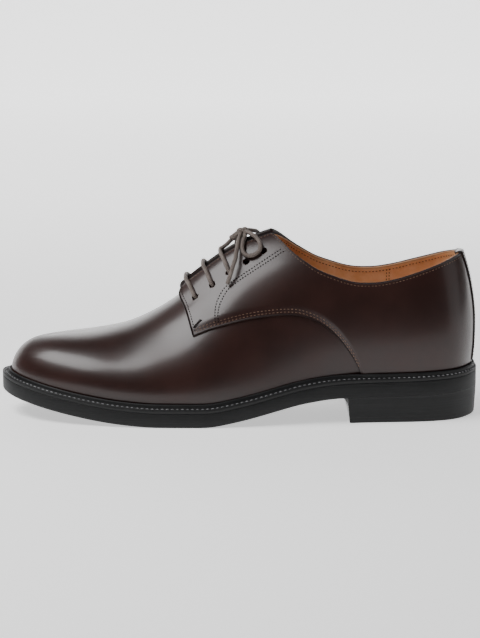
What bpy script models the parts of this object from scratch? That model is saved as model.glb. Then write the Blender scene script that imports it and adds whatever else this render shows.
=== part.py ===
"""A left derby shoe: welted sole, hollow upper, open quarters, tongue and laces.

Metres, +Z up. The toe points to -X, the heel to +X and the outer (lateral) side to -Y.
The shoe stands on z = 0, on its heel and on the ball of the sole.
"""
import math

import bmesh
import bpy
import numpy as np

# Driving sizes of the sole
SOLE_LENGTH = 0.300
BALL_WIDTH = 0.107
OUTSOLE_THICKNESS = 0.0086
WELT_THICKNESS = 0.0027
WELT_EDGE = 0.0055
WELT_TUCK = 0.0050
BEAD_HEIGHT = 0.0026
BEAD_WIDTH = 0.0016
TOE_SPRING = 0.0153
HEEL_RISE = 0.0183
HEEL_LENGTH = 0.0825
HEEL_TAPER = 0.0010
BREAST_FLARE = 0.010
BREAST_SKEW = -0.0022

# Driving sizes of the last, measured from the floor
TOE_BOX_HEIGHT = 0.0510
INSTEP_HEIGHT = 0.1125
TOE_LEAN = 0.0235
TOE_LEAN_END = 0.26
HEEL_BULGE = 0.0014
HEEL_BULGE_START = 0.70
RIDGE_SHIFT = 0.0030

# Driving sizes of the upper's openings and seams
COLLAR_FRONT_HEIGHT = 0.1090
COLLAR_BACK_HEIGHT = 0.1025
COLLAR_LOW_LATERAL = 0.0867
COLLAR_LOW_MEDIAL = 0.0875
THROAT_PLACE = 0.1085
THROAT_ROUNDING = 0.008
FACING_GAP = 0.014
FACING_SETBACK = 0.0020
FACING_LEAD = 0.0012
SEAM_RISE = 0.0485

# Leather and rubber thicknesses
VAMP_WALL = 0.0020
LINING_WALL = 0.0013
QUARTER_WALL = 0.0013
FACING_WALL = 0.0030
FACING_LIFT = 0.0016
FACING_BLEND = 0.024
TONGUE_WALL = 0.0020
INSOLE_THICKNESS = 0.0025
BACKSTAY_WALL = 0.0009
BACKSTAY_WIDTH = 0.014
BACKSTAY_TAPER = 0.25
SEAM_ALLOWANCE = 0.010
SEAM_FRONT_BLEND = 0.12

# Tongue: how far it reaches in front of the throat and behind it, its half width and its sagging end
TONGUE_TUCK = 0.010
TONGUE_REACH = 0.057
TONGUE_HALF_WIDTH = 0.018
TONGUE_SPREAD = 0.005
TONGUE_ROUNDING = 0.016
TONGUE_SAG = 0.0030
SAG_START = 0.030
SAG_BLEND = 0.05
SAG_HALF_WIDTH = 0.014

# Lace and eyelets. Places and steps are measured along the shoe, the insets across it, one for each eyelet.
# The slant is how far a crossing leans towards the toe between its eyelet and the middle.
EYELETS = 5
EYELET_DIAMETER = 0.0040
EYELET_INSETS = (0.0142, 0.0138, 0.0130, 0.0120, 0.0101)
EYELET_STEP = 0.0106
FIRST_EYELET = 0.1180
LACE_SLANT = 0.0028
LACE_BARS = 3
LACE_DIAMETER = 0.0026

# Clearances between pieces
CLEARANCE = 0.0003
CURVED_CLEARANCE = 0.0008
LACE_CLEARANCE = 0.0006

LATERAL = -1
MEDIAL = 1

# Plan of the last's bottom. along: share of its length from the toe. lateral, medial: half widths as
# shares of half the last's ball width. edge: how far the sole stands out, as a share of WELT_EDGE.
PLAN_COLUMNS = ("along", "lateral", "medial", "edge_lateral", "edge_medial")
PLAN = (
    (0.000, 0.000, 0.000, 1.00, 1.00),
    (0.035, 0.437, 0.458, 1.00, 1.00),
    (0.086, 0.656, 0.700, 1.00, 1.00),
    (0.156, 0.812, 0.868, 1.00, 1.00),
    (0.242, 0.927, 0.972, 1.00, 1.00),
    (0.328, 0.990, 0.990, 1.00, 1.00),
    (0.415, 1.000, 0.885, 1.00, 1.00),
    (0.518, 0.927, 0.715, 1.05, 1.10),
    (0.622, 0.812, 0.590, 1.12, 1.20),
    (0.709, 0.730, 0.560, 1.12, 1.20),
    (0.795, 0.677, 0.590, 1.08, 1.12),
    (0.881, 0.646, 0.618, 1.00, 1.00),
    (0.951, 0.533, 0.531, 0.96, 0.96),
    (1.000, 0.000, 0.000, 0.95, 0.95),
)

# Underside of the outsole. along: share of the sole's length from the toe. toe: share of TOE_SPRING.
# heel: share of HEEL_RISE.
UNDERSIDE_COLUMNS = ("along", "toe", "heel")
UNDERSIDE = (
    (0.000, 1.00, 0.00),
    (0.030, 0.84, 0.00),
    (0.063, 0.71, 0.00),
    (0.100, 0.56, 0.00),
    (0.150, 0.375, 0.00),
    (0.207, 0.195, 0.00),
    (0.260, 0.075, 0.00),
    (0.330, 0.00, 0.00),
    (0.430, 0.00, 0.00),
    (0.480, 0.00, 0.12),
    (0.523, 0.00, 0.27),
    (0.575, 0.00, 0.49),
    (0.627, 0.00, 0.70),
    (0.690, 0.00, 0.85),
    (0.730, 0.00, 0.89),
    (0.837, 0.00, 0.92),
    (1.000, 0.00, 1.00),
)

# Sections of the last. ridge: 0 at TOE_BOX_HEIGHT, 1 at INSTEP_HEIGHT. belly and flank pull the side out,
# as shares of the half width there, at their shares of the section's height. crown: flatness of the top.
SECTION_COLUMNS = ("along", "ridge", "belly_height", "belly_lateral", "belly_medial",
                   "flank_height", "flank_lateral", "flank_medial", "crown_lateral", "crown_medial")
SECTIONS = (
    (0.000, -0.039, 0.33, 1.10, 1.10, 0.85, 0.90, 0.90, 0.55, 0.55),
    (0.035, -0.021, 0.33, 1.10, 1.10, 0.85, 0.90, 0.90, 0.55, 0.55),
    (0.086, -0.010, 0.33, 1.10, 1.10, 0.85, 0.90, 0.92, 0.55, 0.55),
    (0.156, 0.010, 0.33, 1.12, 1.10, 0.84, 0.90, 0.92, 0.55, 0.55),
    (0.242, 0.065, 0.32, 1.12, 1.08, 0.78, 0.86, 0.92, 0.50, 0.50),
    (0.328, 0.247, 0.29, 1.10, 1.07, 0.70, 0.82, 0.92, 0.44, 0.46),
    (0.370, 0.380, 0.27, 1.09, 1.09, 0.67, 0.81, 0.95, 0.42, 0.47),
    (0.415, 0.563, 0.25, 1.08, 1.12, 0.65, 0.80, 0.98, 0.42, 0.50),
    (0.518, 0.885, 0.25, 1.02, 1.20, 0.67, 0.81, 1.08, 0.50, 0.66),
    (0.622, 1.040, 0.25, 1.00, 1.34, 0.68, 0.92, 1.28, 0.60, 0.83),
    (0.709, 1.092, 0.25, 1.06, 1.40, 0.62, 1.00, 1.30, 0.64, 0.83),
    (0.795, 1.122, 0.25, 1.14, 1.33, 0.60, 1.02, 1.18, 0.62, 0.71),
    (0.881, 1.138, 0.25, 1.16, 1.20, 0.60, 1.02, 1.05, 0.60, 0.63),
    (0.951, 1.138, 0.25, 1.16, 1.16, 0.60, 1.00, 1.00, 0.60, 0.60),
    (1.000, 1.138, 0.25, 1.16, 1.16, 0.60, 1.00, 1.00, 0.60, 0.60),
)

# Curve of the heel's back. height: share of the way from the feather to the collar's back.
# out: share of HEEL_BULGE.
BACK_COLUMNS = ("height", "out")
BACK = (
    (0.00, 0.00),
    (0.10, 0.45),
    (0.20, 0.85),
    (0.36, 1.00),
    (0.47, 0.85),
    (0.58, 0.30),
    (0.66, -0.30),
    (0.73, -0.90),
    (0.88, -2.70),
    (1.00, -4.60),
    (1.40, -11.0),
)

# Topline of the collar. along: as in PLAN. front, back: shares of the rise from the collar's lowest
# height to its front and to its back.
TOPLINE_COLUMNS = ("along", "front", "back")
TOPLINE = (
    (0.527, 1.12, 0.00),
    (0.569, 1.10, 0.00),
    (0.595, 0.97, 0.00),
    (0.609, 0.820, 0.00),
    (0.640, 0.560, 0.00),
    (0.667, 0.345, 0.00),
    (0.700, 0.190, 0.00),
    (0.730, 0.065, 0.00),
    (0.759, 0.00, 0.00),
    (0.787, 0.00, 0.00),
    (0.834, 0.00, 0.117),
    (0.880, 0.00, 0.33),
    (0.930, 0.00, 0.59),
    (0.980, 0.00, 0.88),
    (1.000, 0.00, 1.00),
)

# Lower edge of the quarter, where it crosses the vamp. rise: share of SEAM_RISE above the feather.
SEAM_COLUMNS = ("along", "rise")
SEAM = (
    (0.401, 0.872),
    (0.445, 0.967),
    (0.512, 1.000),
    (0.579, 0.957),
    (0.618, 0.903),
    (0.659, 0.792),
    (0.699, 0.608),
    (0.732, 0.365),
    (0.756, 0.113),
    (0.763, 0.000),
)

# Half section of the welt's bead. out: share of BEAD_WIDTH from the upper. up: share of BEAD_HEIGHT.
BEAD = (
    (1.00, 0.00),
    (0.80, 0.75),
    (0.35, 1.00),
    (0.00, 0.85),
)

# Rings of the heel block. height: share of its height. taper: share of HEEL_TAPER inside the sole's edge.
# flare: share of BREAST_FLARE in front of the breast.
HEEL_RINGS = (
    (0.00, 1.00, 0.00),
    (0.45, 0.50, 0.00),
    (0.75, 0.20, 0.35),
    (1.00, 0.00, 1.00),
)
FLARE_BLEND = 0.35

# Grid sizes
STATIONS = 40
UPPER_COLUMNS = 11
QUARTER_STATIONS = 24
QUARTER_COLUMNS = 8
HEEL_STATIONS = 14
HEEL_COLUMNS = 9
TONGUE_STATIONS = 12
TONGUE_COLUMNS = 8
BACKSTAY_STATIONS = 10
BACKSTAY_COLUMNS = 6
HOLE_SIDES = 8


def smooth_step(value):
    """Rise from 0 to 1 with level ends."""
    value = np.clip(value, 0.0, 1.0)
    return value * value * (3.0 - 2.0 * value)


def curve_through(places, heights, at):
    """Smooth curve through table values that never swings past them."""
    places = np.asarray(places, float)
    heights = np.asarray(heights, float)
    steps = np.diff(places)
    grades = np.diff(heights) / steps
    before, after = grades[:-1], grades[1:]
    turning = before * after <= 0
    weight_a = 2 * steps[1:] + steps[:-1]
    weight_b = steps[1:] + 2 * steps[:-1]
    safe_a = np.where(turning, 1.0, before)
    safe_b = np.where(turning, 1.0, after)
    middle = (weight_a + weight_b) / (weight_a / safe_a + weight_b / safe_b)
    slopes = np.concatenate(([grades[0]], np.where(turning, 0.0, middle), [grades[-1]]))
    at = np.asarray(at, float)
    row = np.clip(np.searchsorted(places, at) - 1, 0, len(steps) - 1)
    width = steps[row]
    t = np.clip((at - places[row]) / width, 0.0, 1.0)
    return (heights[row] * (1 + 2 * t) * (1 - t) ** 2 + slopes[row] * width * t * (1 - t) ** 2
            + heights[row + 1] * t * t * (3 - 2 * t) + slopes[row + 1] * width * t * t * (t - 1))


def column(table, names, name, at):
    """Value of a table's named column at places along its first column."""
    rows = np.array(table)
    return curve_through(rows[:, 0], rows[:, names.index(name)], at)


def side_name(side):
    return "lateral" if side == LATERAL else "medial"


# The last stands between the toe's and the heel's edges of the sole
EDGE_AT_TOE = WELT_EDGE * PLAN[0][3]
EDGE_AT_HEEL = WELT_EDGE * PLAN[-1][3]
LAST_LENGTH = SOLE_LENGTH - EDGE_AT_TOE - EDGE_AT_HEEL
LAST_TOE = -SOLE_LENGTH / 2 + EDGE_AT_TOE
LAST_HALF_BALL = BALL_WIDTH / 2 - WELT_EDGE
WELT_BASE = OUTSOLE_THICKNESS + CLEARANCE
FEATHER_BASE = WELT_BASE + WELT_THICKNESS + CLEARANCE
QUARTER_COVER = CURVED_CLEARANCE + QUARTER_WALL


def along_share(turn):
    """Share of the last's length at a turn: 0 at the toe, 1 at the heel, close set at both ends."""
    return (1 - np.cos(np.pi * np.asarray(turn, float))) / 2


def turn_at(share):
    """Turn at a share of the last's length."""
    return np.arccos(1 - 2 * np.asarray(share, float)) / np.pi


def share_at(place):
    """Share of the last's length at a distance from its toe."""
    return place / LAST_LENGTH


def underside(x):
    """Height of the outsole's underside."""
    share = x / SOLE_LENGTH + 0.5
    toe = column(UNDERSIDE, UNDERSIDE_COLUMNS, "toe", share)
    heel = column(UNDERSIDE, UNDERSIDE_COLUMNS, "heel", share)
    return TOE_SPRING * toe + HEEL_RISE * heel


def half_width(turn, side):
    """Half width of the last's bottom. Its square is smooth, so both ends come out round."""
    rows = np.array(PLAN)
    squares = rows[:, PLAN_COLUMNS.index(side_name(side))] ** 2
    share = curve_through(rows[:, 0], squares, along_share(turn))
    return LAST_HALF_BALL * np.sqrt(np.maximum(share, 0.0))


def feather(turn, side):
    """Point on the last's bottom edge."""
    turn = np.asarray(turn, float)
    x = LAST_TOE + LAST_LENGTH * along_share(turn)
    y = side * half_width(turn, side) + Y_CENTRE
    return np.stack([x, y, underside(x) + FEATHER_BASE], axis=-1)


def plan_normal(turn, side):
    """Level direction out of the last at its bottom edge."""
    step = 1e-4
    turn = np.asarray(turn, float)
    ahead = feather(np.clip(turn + step, 0, 1), side)
    back = feather(np.clip(turn - step, 0, 1), side)
    way = ahead - back
    normal = side * np.stack([-way[..., 1], way[..., 0], 0 * way[..., 0]], axis=-1)
    return normal / np.linalg.norm(normal, axis=-1, keepdims=True)


def sole_edge(turn, side, inset=0.0):
    """Point on the sole's outline, or inset from it, at the height of the last's bottom."""
    share = along_share(turn)
    reach = WELT_EDGE * column(PLAN, PLAN_COLUMNS, "edge_" + side_name(side), share)
    return feather(turn, side) + plan_normal(turn, side) * (reach - inset)[..., None]


def last_point(turn, rise, side):
    """Point on the last: turn runs toe to heel, rise runs from the feather (0) to the ridge (1)."""
    turn, rise = np.broadcast_arrays(np.asarray(turn, float), np.asarray(rise, float))
    share = along_share(turn)
    base = feather(turn, side)
    half = half_width(turn, side)
    name = side_name(side)
    ridge = TOE_BOX_HEIGHT + (INSTEP_HEIGHT - TOE_BOX_HEIGHT) * column(
        SECTIONS, SECTION_COLUMNS, "ridge", share)
    tall = ridge - base[..., 2]
    weights = [math.comb(4, power) * rise ** power * (1 - rise) ** (4 - power) for power in range(5)]
    out = (weights[0]
           + weights[1] * column(SECTIONS, SECTION_COLUMNS, "belly_" + name, share)
           + weights[2] * column(SECTIONS, SECTION_COLUMNS, "flank_" + name, share)
           + weights[3] * column(SECTIONS, SECTION_COLUMNS, "crown_" + name, share))
    up = (weights[1] * column(SECTIONS, SECTION_COLUMNS, "belly_height", share)
          + weights[2] * column(SECTIONS, SECTION_COLUMNS, "flank_height", share)
          + weights[3] + weights[4])
    z = base[..., 2] + tall * up
    y = Y_CENTRE + side * half * out + ridge_shift(share) * (weights[3] + weights[4])
    toe_fade = 1 - smooth_step(share / TOE_LEAN_END)
    lean = TOE_LEAN * toe_fade * (1 - np.sqrt(np.maximum(1 - up * up, 0.0)))
    heel_fade = smooth_step((share - HEEL_BULGE_START) / (1 - HEEL_BULGE_START))
    back_height = (z - base[..., 2]) / (COLLAR_BACK_HEIGHT - HEEL_RISE - FEATHER_BASE)
    back = HEEL_BULGE * heel_fade * column(BACK, BACK_COLUMNS, "out", back_height)
    return np.stack([base[..., 0] + lean + back, y, z], axis=-1)


def ridge_shift(share):
    """The instep's ridge lies a little towards the inner side."""
    return RIDGE_SHIFT * smooth_step(share / 0.3) * (1 - smooth_step((share - 0.65) / 0.3))


def last_normal(turn, rise, side):
    """Direction out of the last."""
    step = 1e-4
    turn, rise = np.broadcast_arrays(np.asarray(turn, float), np.asarray(rise, float))
    along = (last_point(np.clip(turn + step, 0, 1), rise, side)
             - last_point(np.clip(turn - step, 0, 1), rise, side))
    upward = (last_point(turn, np.clip(rise + step, 0, 1), side)
              - last_point(turn, np.clip(rise - step, 0, 1), side))
    normal = np.cross(along, upward) * -side
    return normal / np.linalg.norm(normal, axis=-1, keepdims=True)


def offset_point(turn, rise, side, out):
    """Point at a distance out from the last."""
    return last_point(turn, rise, side) + last_normal(turn, rise, side) * np.asarray(out)[..., None]


def rise_at_height(turn, side, height):
    """Rise at which the last is at a height."""
    rises = np.linspace(0.0, 1.0, 201)
    found = []
    for place, goal in zip(np.atleast_1d(turn), np.atleast_1d(height)):
        values = last_point(place, rises, side)[:, 2]
        found.append(np.interp(goal, values, rises))
    return np.array(found)


def rise_at_reach(turn, side, reach):
    """Rise at which the last is at a distance from its ridge, across the shoe."""
    share = along_share(np.atleast_1d(turn))
    found = []
    rises = np.linspace(0.25, 1.0, 151)
    for place, part, goal in zip(np.atleast_1d(turn), share, np.broadcast_to(reach, share.shape)):
        centre = Y_CENTRE + ridge_shift(part)
        distance = side * (last_point(place, rises, side)[:, 1] - centre)
        found.append(np.interp(-goal, -distance, rises))
    return np.array(found)


def topline_height(turn, side):
    """Height of the collar's edge."""
    share = along_share(turn)
    low = COLLAR_LOW_LATERAL if side == LATERAL else COLLAR_LOW_MEDIAL
    front = column(TOPLINE, TOPLINE_COLUMNS, "front", share)
    back = column(TOPLINE, TOPLINE_COLUMNS, "back", share)
    return low + (COLLAR_FRONT_HEIGHT - low) * front + (COLLAR_BACK_HEIGHT - low) * back


def edge_rise(turn, side, reach):
    """Rise of the lower of the facing, at its reach from the ridge, and the collar."""
    share = along_share(turn)
    facing = np.where(share < TOPLINE[6][0], rise_at_reach(turn, side, reach), 1.0)
    collar = rise_at_height(turn, side, topline_height(turn, side))
    return np.minimum(facing, np.where(share > TOPLINE[0][0], collar, 1.0))


def opening_rise(turn, side):
    """Rise of the lining's edge, along the throat and the collar."""
    past = (along_share(turn) - share_at(THROAT_PLACE)) * LAST_LENGTH
    reach = (FACING_GAP / 2 + FACING_SETBACK) * np.sqrt(np.clip(past / THROAT_ROUNDING, 0.0, 1.0))
    return np.where(past <= 0, 1.0, edge_rise(turn, side, reach))


def facing_share(point, share):
    """1 at the facing's edge and along the throat, 0 away from it and at the collar."""
    distance = np.abs(point[..., 1] - Y_CENTRE - ridge_shift(share))
    near = FACING_GAP / 2
    before_collar = 1 - smooth_step((share - TOPLINE[3][0]) / (TOPLINE[6][0] - TOPLINE[3][0]))
    return smooth_step((FACING_BLEND - distance) / (FACING_BLEND - near)) * before_collar


def behind_throat(share):
    """0 on the vamp, 1 past the throat."""
    return smooth_step((share - share_at(THROAT_PLACE)) * LAST_LENGTH / (1.5 * THROAT_ROUNDING))


def lining_lift(turn, rise, side):
    """How far the lining stands off the last, under the facing."""
    share = along_share(turn)
    point = last_point(turn, rise, side)
    return FACING_LIFT * facing_share(point, share) * behind_throat(share)


def quarter_out(turn, rise, side):
    """How far the quarter's outer face stands off the last."""
    share = along_share(turn)
    near = facing_share(last_point(turn, rise, side), share)
    return QUARTER_COVER + (FACING_LIFT + FACING_WALL - QUARTER_WALL) * near


COLLECTION = bpy.data.collections.new("derby_shoe")
CUTTERS = bpy.data.collections.new("cutters")


def clear_scene():
    for thing in list(bpy.data.objects):
        bpy.data.objects.remove(thing)
    bpy.context.scene.collection.children.link(COLLECTION)
    bpy.context.scene.collection.children.link(CUTTERS)


def material(name, colour, roughness):
    """Plain surface with a colour and a roughness."""
    made = bpy.data.materials.new(name)
    made.use_nodes = True
    shader = made.node_tree.nodes["Principled BSDF"]
    shader.inputs["Base Color"].default_value = (*colour, 1.0)
    shader.inputs["Roughness"].default_value = roughness
    return made


def add_object(name, points, faces, finish, collection=COLLECTION):
    """Mesh object from points and faces, with points that coincide merged."""
    mesh = bpy.data.meshes.new(name)
    mesh.from_pydata([tuple(point) for point in points], [], faces)
    work = bmesh.new()
    work.from_mesh(mesh)
    bmesh.ops.remove_doubles(work, verts=work.verts, dist=1e-6)
    work.to_mesh(mesh)
    work.free()
    made = bpy.data.objects.new(name, mesh)
    if finish:
        mesh.materials.append(finish)
    collection.objects.link(made)
    return made


def grid_faces(rows, columns, start=0, flip=False):
    """Quads of a grid whose points are stored row by row."""
    faces = []
    for row in range(rows - 1):
        for place in range(columns - 1):
            corner = start + row * columns + place
            quad = (corner, corner + columns, corner + columns + 1, corner + 1)
            faces.append(quad[::-1] if flip else quad)
    return faces


def shell(name, grids, finish, wall, thin=None):
    """Wall grown inwards from grids of outer points. thin gives each point's share of the wall."""
    points, faces, shares = [], [], []
    for side, grid, share in grids:
        rows, columns = grid.shape[:2]
        faces += grid_faces(rows, columns, len(points), flip=side == MEDIAL)
        points += list(grid.reshape(-1, 3))
        shares += list(np.broadcast_to(share, (rows, columns)).reshape(-1))
    made = add_object(name, points, faces, finish)
    group = made.vertex_groups.new(name="wall")
    spots = np.array(points)
    shares = np.array(shares)
    for vertex in made.data.vertices:
        nearest = int(np.argmin(np.sum((spots - np.array(vertex.co)) ** 2, axis=1)))
        group.add([vertex.index], float(shares[nearest]), "REPLACE")
    solid = made.modifiers.new("wall", "SOLIDIFY")
    solid.thickness = wall
    solid.offset = -1.0
    solid.vertex_group = "wall"
    made.data.shade_smooth()
    return made


def cut(target, cutter):
    """Take a cutter out of an object."""
    change = target.modifiers.new("holes", "BOOLEAN")
    change.operation = "DIFFERENCE"
    change.object = cutter


def ring_turns(count=STATIONS):
    """Turn and side of each point round the shoe: down the outer side and back up the inner side."""
    steps = np.arange(count + 1) / count
    turns = np.concatenate([steps, steps[-2:0:-1]])
    sides = np.array([LATERAL] * (count + 1) + [MEDIAL] * (count - 1))
    return turns, sides


def round_the_shoe(rule, count=STATIONS):
    """Points of a rule of turn and side, all round the shoe."""
    turns, sides = ring_turns(count)
    outer = rule(turns[sides == LATERAL], LATERAL)
    inner = rule(turns[sides == MEDIAL], MEDIAL)
    return np.concatenate([outer, inner])


def stacked_rings(name, rings, finish, count=STATIONS):
    """Solid between closed rings of points, lowest first, with strips across its two ends."""
    size = len(rings[0])
    points = [point for ring in rings for point in ring]
    faces = []
    for level in range(len(rings) - 1):
        for place in range(size):
            after = (place + 1) % size
            faces.append((level * size + place, level * size + after,
                          (level + 1) * size + after, (level + 1) * size + place))
    top = (len(rings) - 1) * size
    for place in range(count):
        left, right = place, place + 1
        across, beyond = (size - place) % size, size - place - 1
        strip = (left, across, beyond, right)
        strip = tuple(dict.fromkeys(strip))
        faces.append(strip)
        faces.append(tuple(top + corner for corner in reversed(strip)))
    return add_object(name, points, faces, finish)


def at_height(points, heights):
    """Points with their heights replaced."""
    moved = points.copy()
    moved[..., 2] = heights
    return moved


def build_outsole(finish):
    """Rubber sole: true outline, flat across, following the underside's curve."""
    edge = round_the_shoe(sole_edge)
    low = at_height(edge, underside(edge[:, 0]))
    high = at_height(edge, underside(edge[:, 0]) + OUTSOLE_THICKNESS)
    return stacked_rings("outsole", [low, high], finish)


def build_welt(finish):
    """Storm welt: a strip round the shoe whose inner part rises as a bead against the upper."""
    def profile(turn, side):
        out_way = plan_normal(turn, side)
        base = feather(turn, side)
        share = along_share(turn)
        cover = QUARTER_COVER * smooth_step((share - SEAM[-1][0] + 0.03) / 0.03)
        rises = np.linspace(0.0, 0.2, 21)
        inner_low, inner_high = [], []
        for spot, place in enumerate(turn):
            wall = offset_point(place, rises, side, np.full(rises.shape, cover[spot]))
            out = (wall - base[spot]) @ out_way[spot]
            tall = wall[:, 2] - base[spot, 2]
            inner_low.append(np.interp(0.0, tall, out) + CURVED_CLEARANCE)
            inner_high.append(np.interp(BEAD_HEIGHT, tall, out) + CURVED_CLEARANCE)
        inner_low, inner_high = np.array(inner_low), np.array(inner_high)
        reach = WELT_EDGE * column(PLAN, PLAN_COLUMNS, "edge_" + side_name(side), share)
        bead = np.maximum(inner_low, inner_high)
        level = WELT_THICKNESS
        tuck = np.full(reach.shape, -WELT_TUCK)
        corners = [(tuck, 0.0), (reach, 0.0), (reach, level)]
        corners += [(bead + out * BEAD_WIDTH, level + up * BEAD_HEIGHT) for out, up in BEAD]
        corners += [(inner_low, level), (tuck, level)]
        rows = []
        for out, up in corners:
            point = base + out_way * out[:, None]
            point[:, 2] = underside(point[:, 0]) + WELT_BASE + up
            rows.append(point)
        return np.stack(rows, axis=1)

    rings = round_the_shoe(profile)
    size, corners = rings.shape[:2]
    faces = []
    for place in range(size):
        after = (place + 1) % size
        for corner in range(corners):
            beside = (corner + 1) % corners
            faces.append((place * corners + corner, after * corners + corner,
                          after * corners + beside, place * corners + beside))
    return add_object("welt", rings.reshape(-1, 3), faces, finish)


def feather_wall(turn):
    """Thickness of the upper's wall at its foot."""
    share = along_share(turn)
    return VAMP_WALL + (LINING_WALL - VAMP_WALL) * smooth_step((share - SEAM[-1][0] + 0.05) / 0.05)


def build_insole(finish):
    """Insole with its filler: a stepped slab inside the welt and the upper's wall."""
    def inset(extra):
        def rule(turn, side):
            return feather(turn, side) - plan_normal(turn, side) * np.broadcast_to(
                extra(turn), np.shape(turn))[:, None]
        return round_the_shoe(rule)

    lower = inset(lambda turn: WELT_TUCK + CURVED_CLEARANCE)
    upper = inset(lambda turn: feather_wall(turn) + 2 * CURVED_CLEARANCE)
    bottom = underside(lower[:, 0]) + WELT_BASE
    step = underside(lower[:, 0]) + FEATHER_BASE
    ledge = underside(upper[:, 0]) + FEATHER_BASE
    rings = [at_height(lower, bottom), at_height(lower, step),
             at_height(upper, ledge), at_height(upper, ledge + INSOLE_THICKNESS)]
    return stacked_rings("insole", rings, finish)


def build_heel(finish):
    """Heel block: the sole's outline back from the breast, which flares forward under the waist."""
    breast = SOLE_LENGTH / 2 - HEEL_LENGTH
    start = turn_at((breast - LAST_TOE) / LAST_LENGTH)
    steps = start + (1 - start) * np.arange(HEEL_STATIONS + 1) / HEEL_STATIONS

    def ring(height, taper, flare):
        inset = taper * HEEL_TAPER
        outer = sole_edge(steps, LATERAL, np.full(steps.shape, inset))
        inner = sole_edge(steps[-2::-1], MEDIAL, np.full(steps.shape[0] - 1, inset))
        near, far = outer[0], inner[-1]
        near[0] = breast + inset
        far[0] = breast + inset - BREAST_SKEW
        parts = np.arange(1, HEEL_COLUMNS)[:, None] / HEEL_COLUMNS
        front = far + (near - far) * parts
        front[:, 0] -= flare * BREAST_FLARE * smooth_step((1 - parts[:, 0]) / FLARE_BLEND)
        far[0] -= flare * BREAST_FLARE
        points = np.concatenate([outer, inner[:-1], far[None], front])
        return at_height(points, height * top(points[:, 0]))

    def top(x):
        return underside(x) - CLEARANCE

    rings = [ring(*row) for row in HEEL_RINGS]
    size = len(rings[0])
    points = [point for level in rings for point in level]
    faces = []
    for level in range(len(rings) - 1):
        for place in range(size):
            after = (place + 1) % size
            faces.append((level * size + place, level * size + after,
                          (level + 1) * size + after, (level + 1) * size + place))
    middle = len(points)
    points.append(rings[0].mean(axis=0))
    crown = rings[-1].mean(axis=0)
    crown[2] = top(crown[0])
    points.append(crown)
    top_start = (len(rings) - 1) * size
    for place in range(size):
        after = (place + 1) % size
        faces.append((middle, after, place))
        faces.append((middle + 1, top_start + place, top_start + after))
    return add_object("heel", points, faces, finish)


def with_places(steps, shares):
    """Evenly spread turns, with some shares of the last's length among them in place of their neighbours."""
    places = turn_at(shares)
    near = 0.4 * (steps[1] - steps[0])
    kept = [step for step in steps if np.min(np.abs(places - step)) > near]
    return np.sort(np.concatenate([kept, places]))


def upper_turns():
    """Stations along the upper, with some close behind the throat's front."""
    rounding = np.array([0.0, 0.06, 0.3, 0.7, 1.1]) * THROAT_ROUNDING
    return with_places(np.linspace(0.0, 1.0, STATIONS + 1), share_at(THROAT_PLACE + rounding))


def build_upper(finish):
    """Vamp and lining: one hollow wall, open at the throat, at the collar and underneath."""
    turns = upper_turns()
    grids = []
    for side in (LATERAL, MEDIAL):
        edge = opening_rise(turns, side)
        steps = np.arange(UPPER_COLUMNS + 1) / UPPER_COLUMNS
        rise = edge[:, None] * steps[None, :]
        turn = np.broadcast_to(turns[:, None], rise.shape)
        grid = offset_point(turn, rise, side, lining_lift(turn, rise, side))
        share = along_share(turn)
        seam = column(SEAM, SEAM_COLUMNS, "rise", np.clip(share, SEAM[0][0], SEAM[-1][0])) * SEAM_RISE
        above = grid[..., 2] - feather(turn, side)[..., 2] - seam
        covered = behind_throat(share) * smooth_step(above / SEAM_ALLOWANCE)
        covered = np.where(share > SEAM[-1][0], 1.0, covered)
        wall = VAMP_WALL + (LINING_WALL - VAMP_WALL) * covered
        grids.append((side, grid, wall / VAMP_WALL))
    return shell("upper", grids, finish, VAMP_WALL)


def build_quarter(side, finish):
    """Quarter: cut between the seam and the topline, from the upper's own surface, facing thickened."""
    even = np.linspace(turn_at(SEAM[0][0]), 1.0, QUARTER_STATIONS + 1)
    low_turn = with_places(even, np.array([row[0] for row in SEAM[-4:]]))
    low_share = along_share(low_turn)
    front_gap = SEAM[0][0] - share_at(THROAT_PLACE - FACING_LEAD)
    high_share = low_share - front_gap * (1 - smooth_step((low_share - SEAM[0][0]) / SEAM_FRONT_BLEND))
    high_turn = turn_at(high_share)
    foot = feather(low_turn, side)[:, 2]
    seam = column(SEAM, SEAM_COLUMNS, "rise", np.clip(low_share, 0, SEAM[-1][0])) * SEAM_RISE
    seam = np.where(low_share >= SEAM[-1][0], 0.0, seam)
    low_rise = rise_at_height(low_turn, side, foot + seam)
    high_rise = edge_rise(high_turn, side, np.full(high_turn.shape, FACING_GAP / 2))
    steps = np.linspace(0.0, 1.0, QUARTER_COLUMNS + 1)
    turn = low_turn[:, None] + (high_turn - low_turn)[:, None] * steps
    rise = low_rise[:, None] + (high_rise - low_rise)[:, None] * steps
    out = quarter_out(turn, rise, side)
    grid = offset_point(turn, rise, side, out)
    floor = feather(turn, side)[..., 2]
    grid[..., 2] = np.maximum(grid[..., 2], floor)
    grid[-1, :, 1] = Y_CENTRE + side * CURVED_CLEARANCE
    near = facing_share(last_point(turn, rise, side), along_share(turn))
    wall = QUARTER_WALL + (FACING_WALL - QUARTER_WALL) * near
    return shell("quarter_" + side_name(side), [(side, grid, wall / FACING_WALL)], finish, FACING_WALL)


def eyelet_place(number, side):
    """Turn and rise of an eyelet, counted from the toe."""
    turn = float(turn_at(share_at(FIRST_EYELET + number * EYELET_STEP)))
    rise = float(rise_at_reach(turn, side, FACING_GAP / 2 + EYELET_INSETS[number])[0])
    return turn, rise


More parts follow.
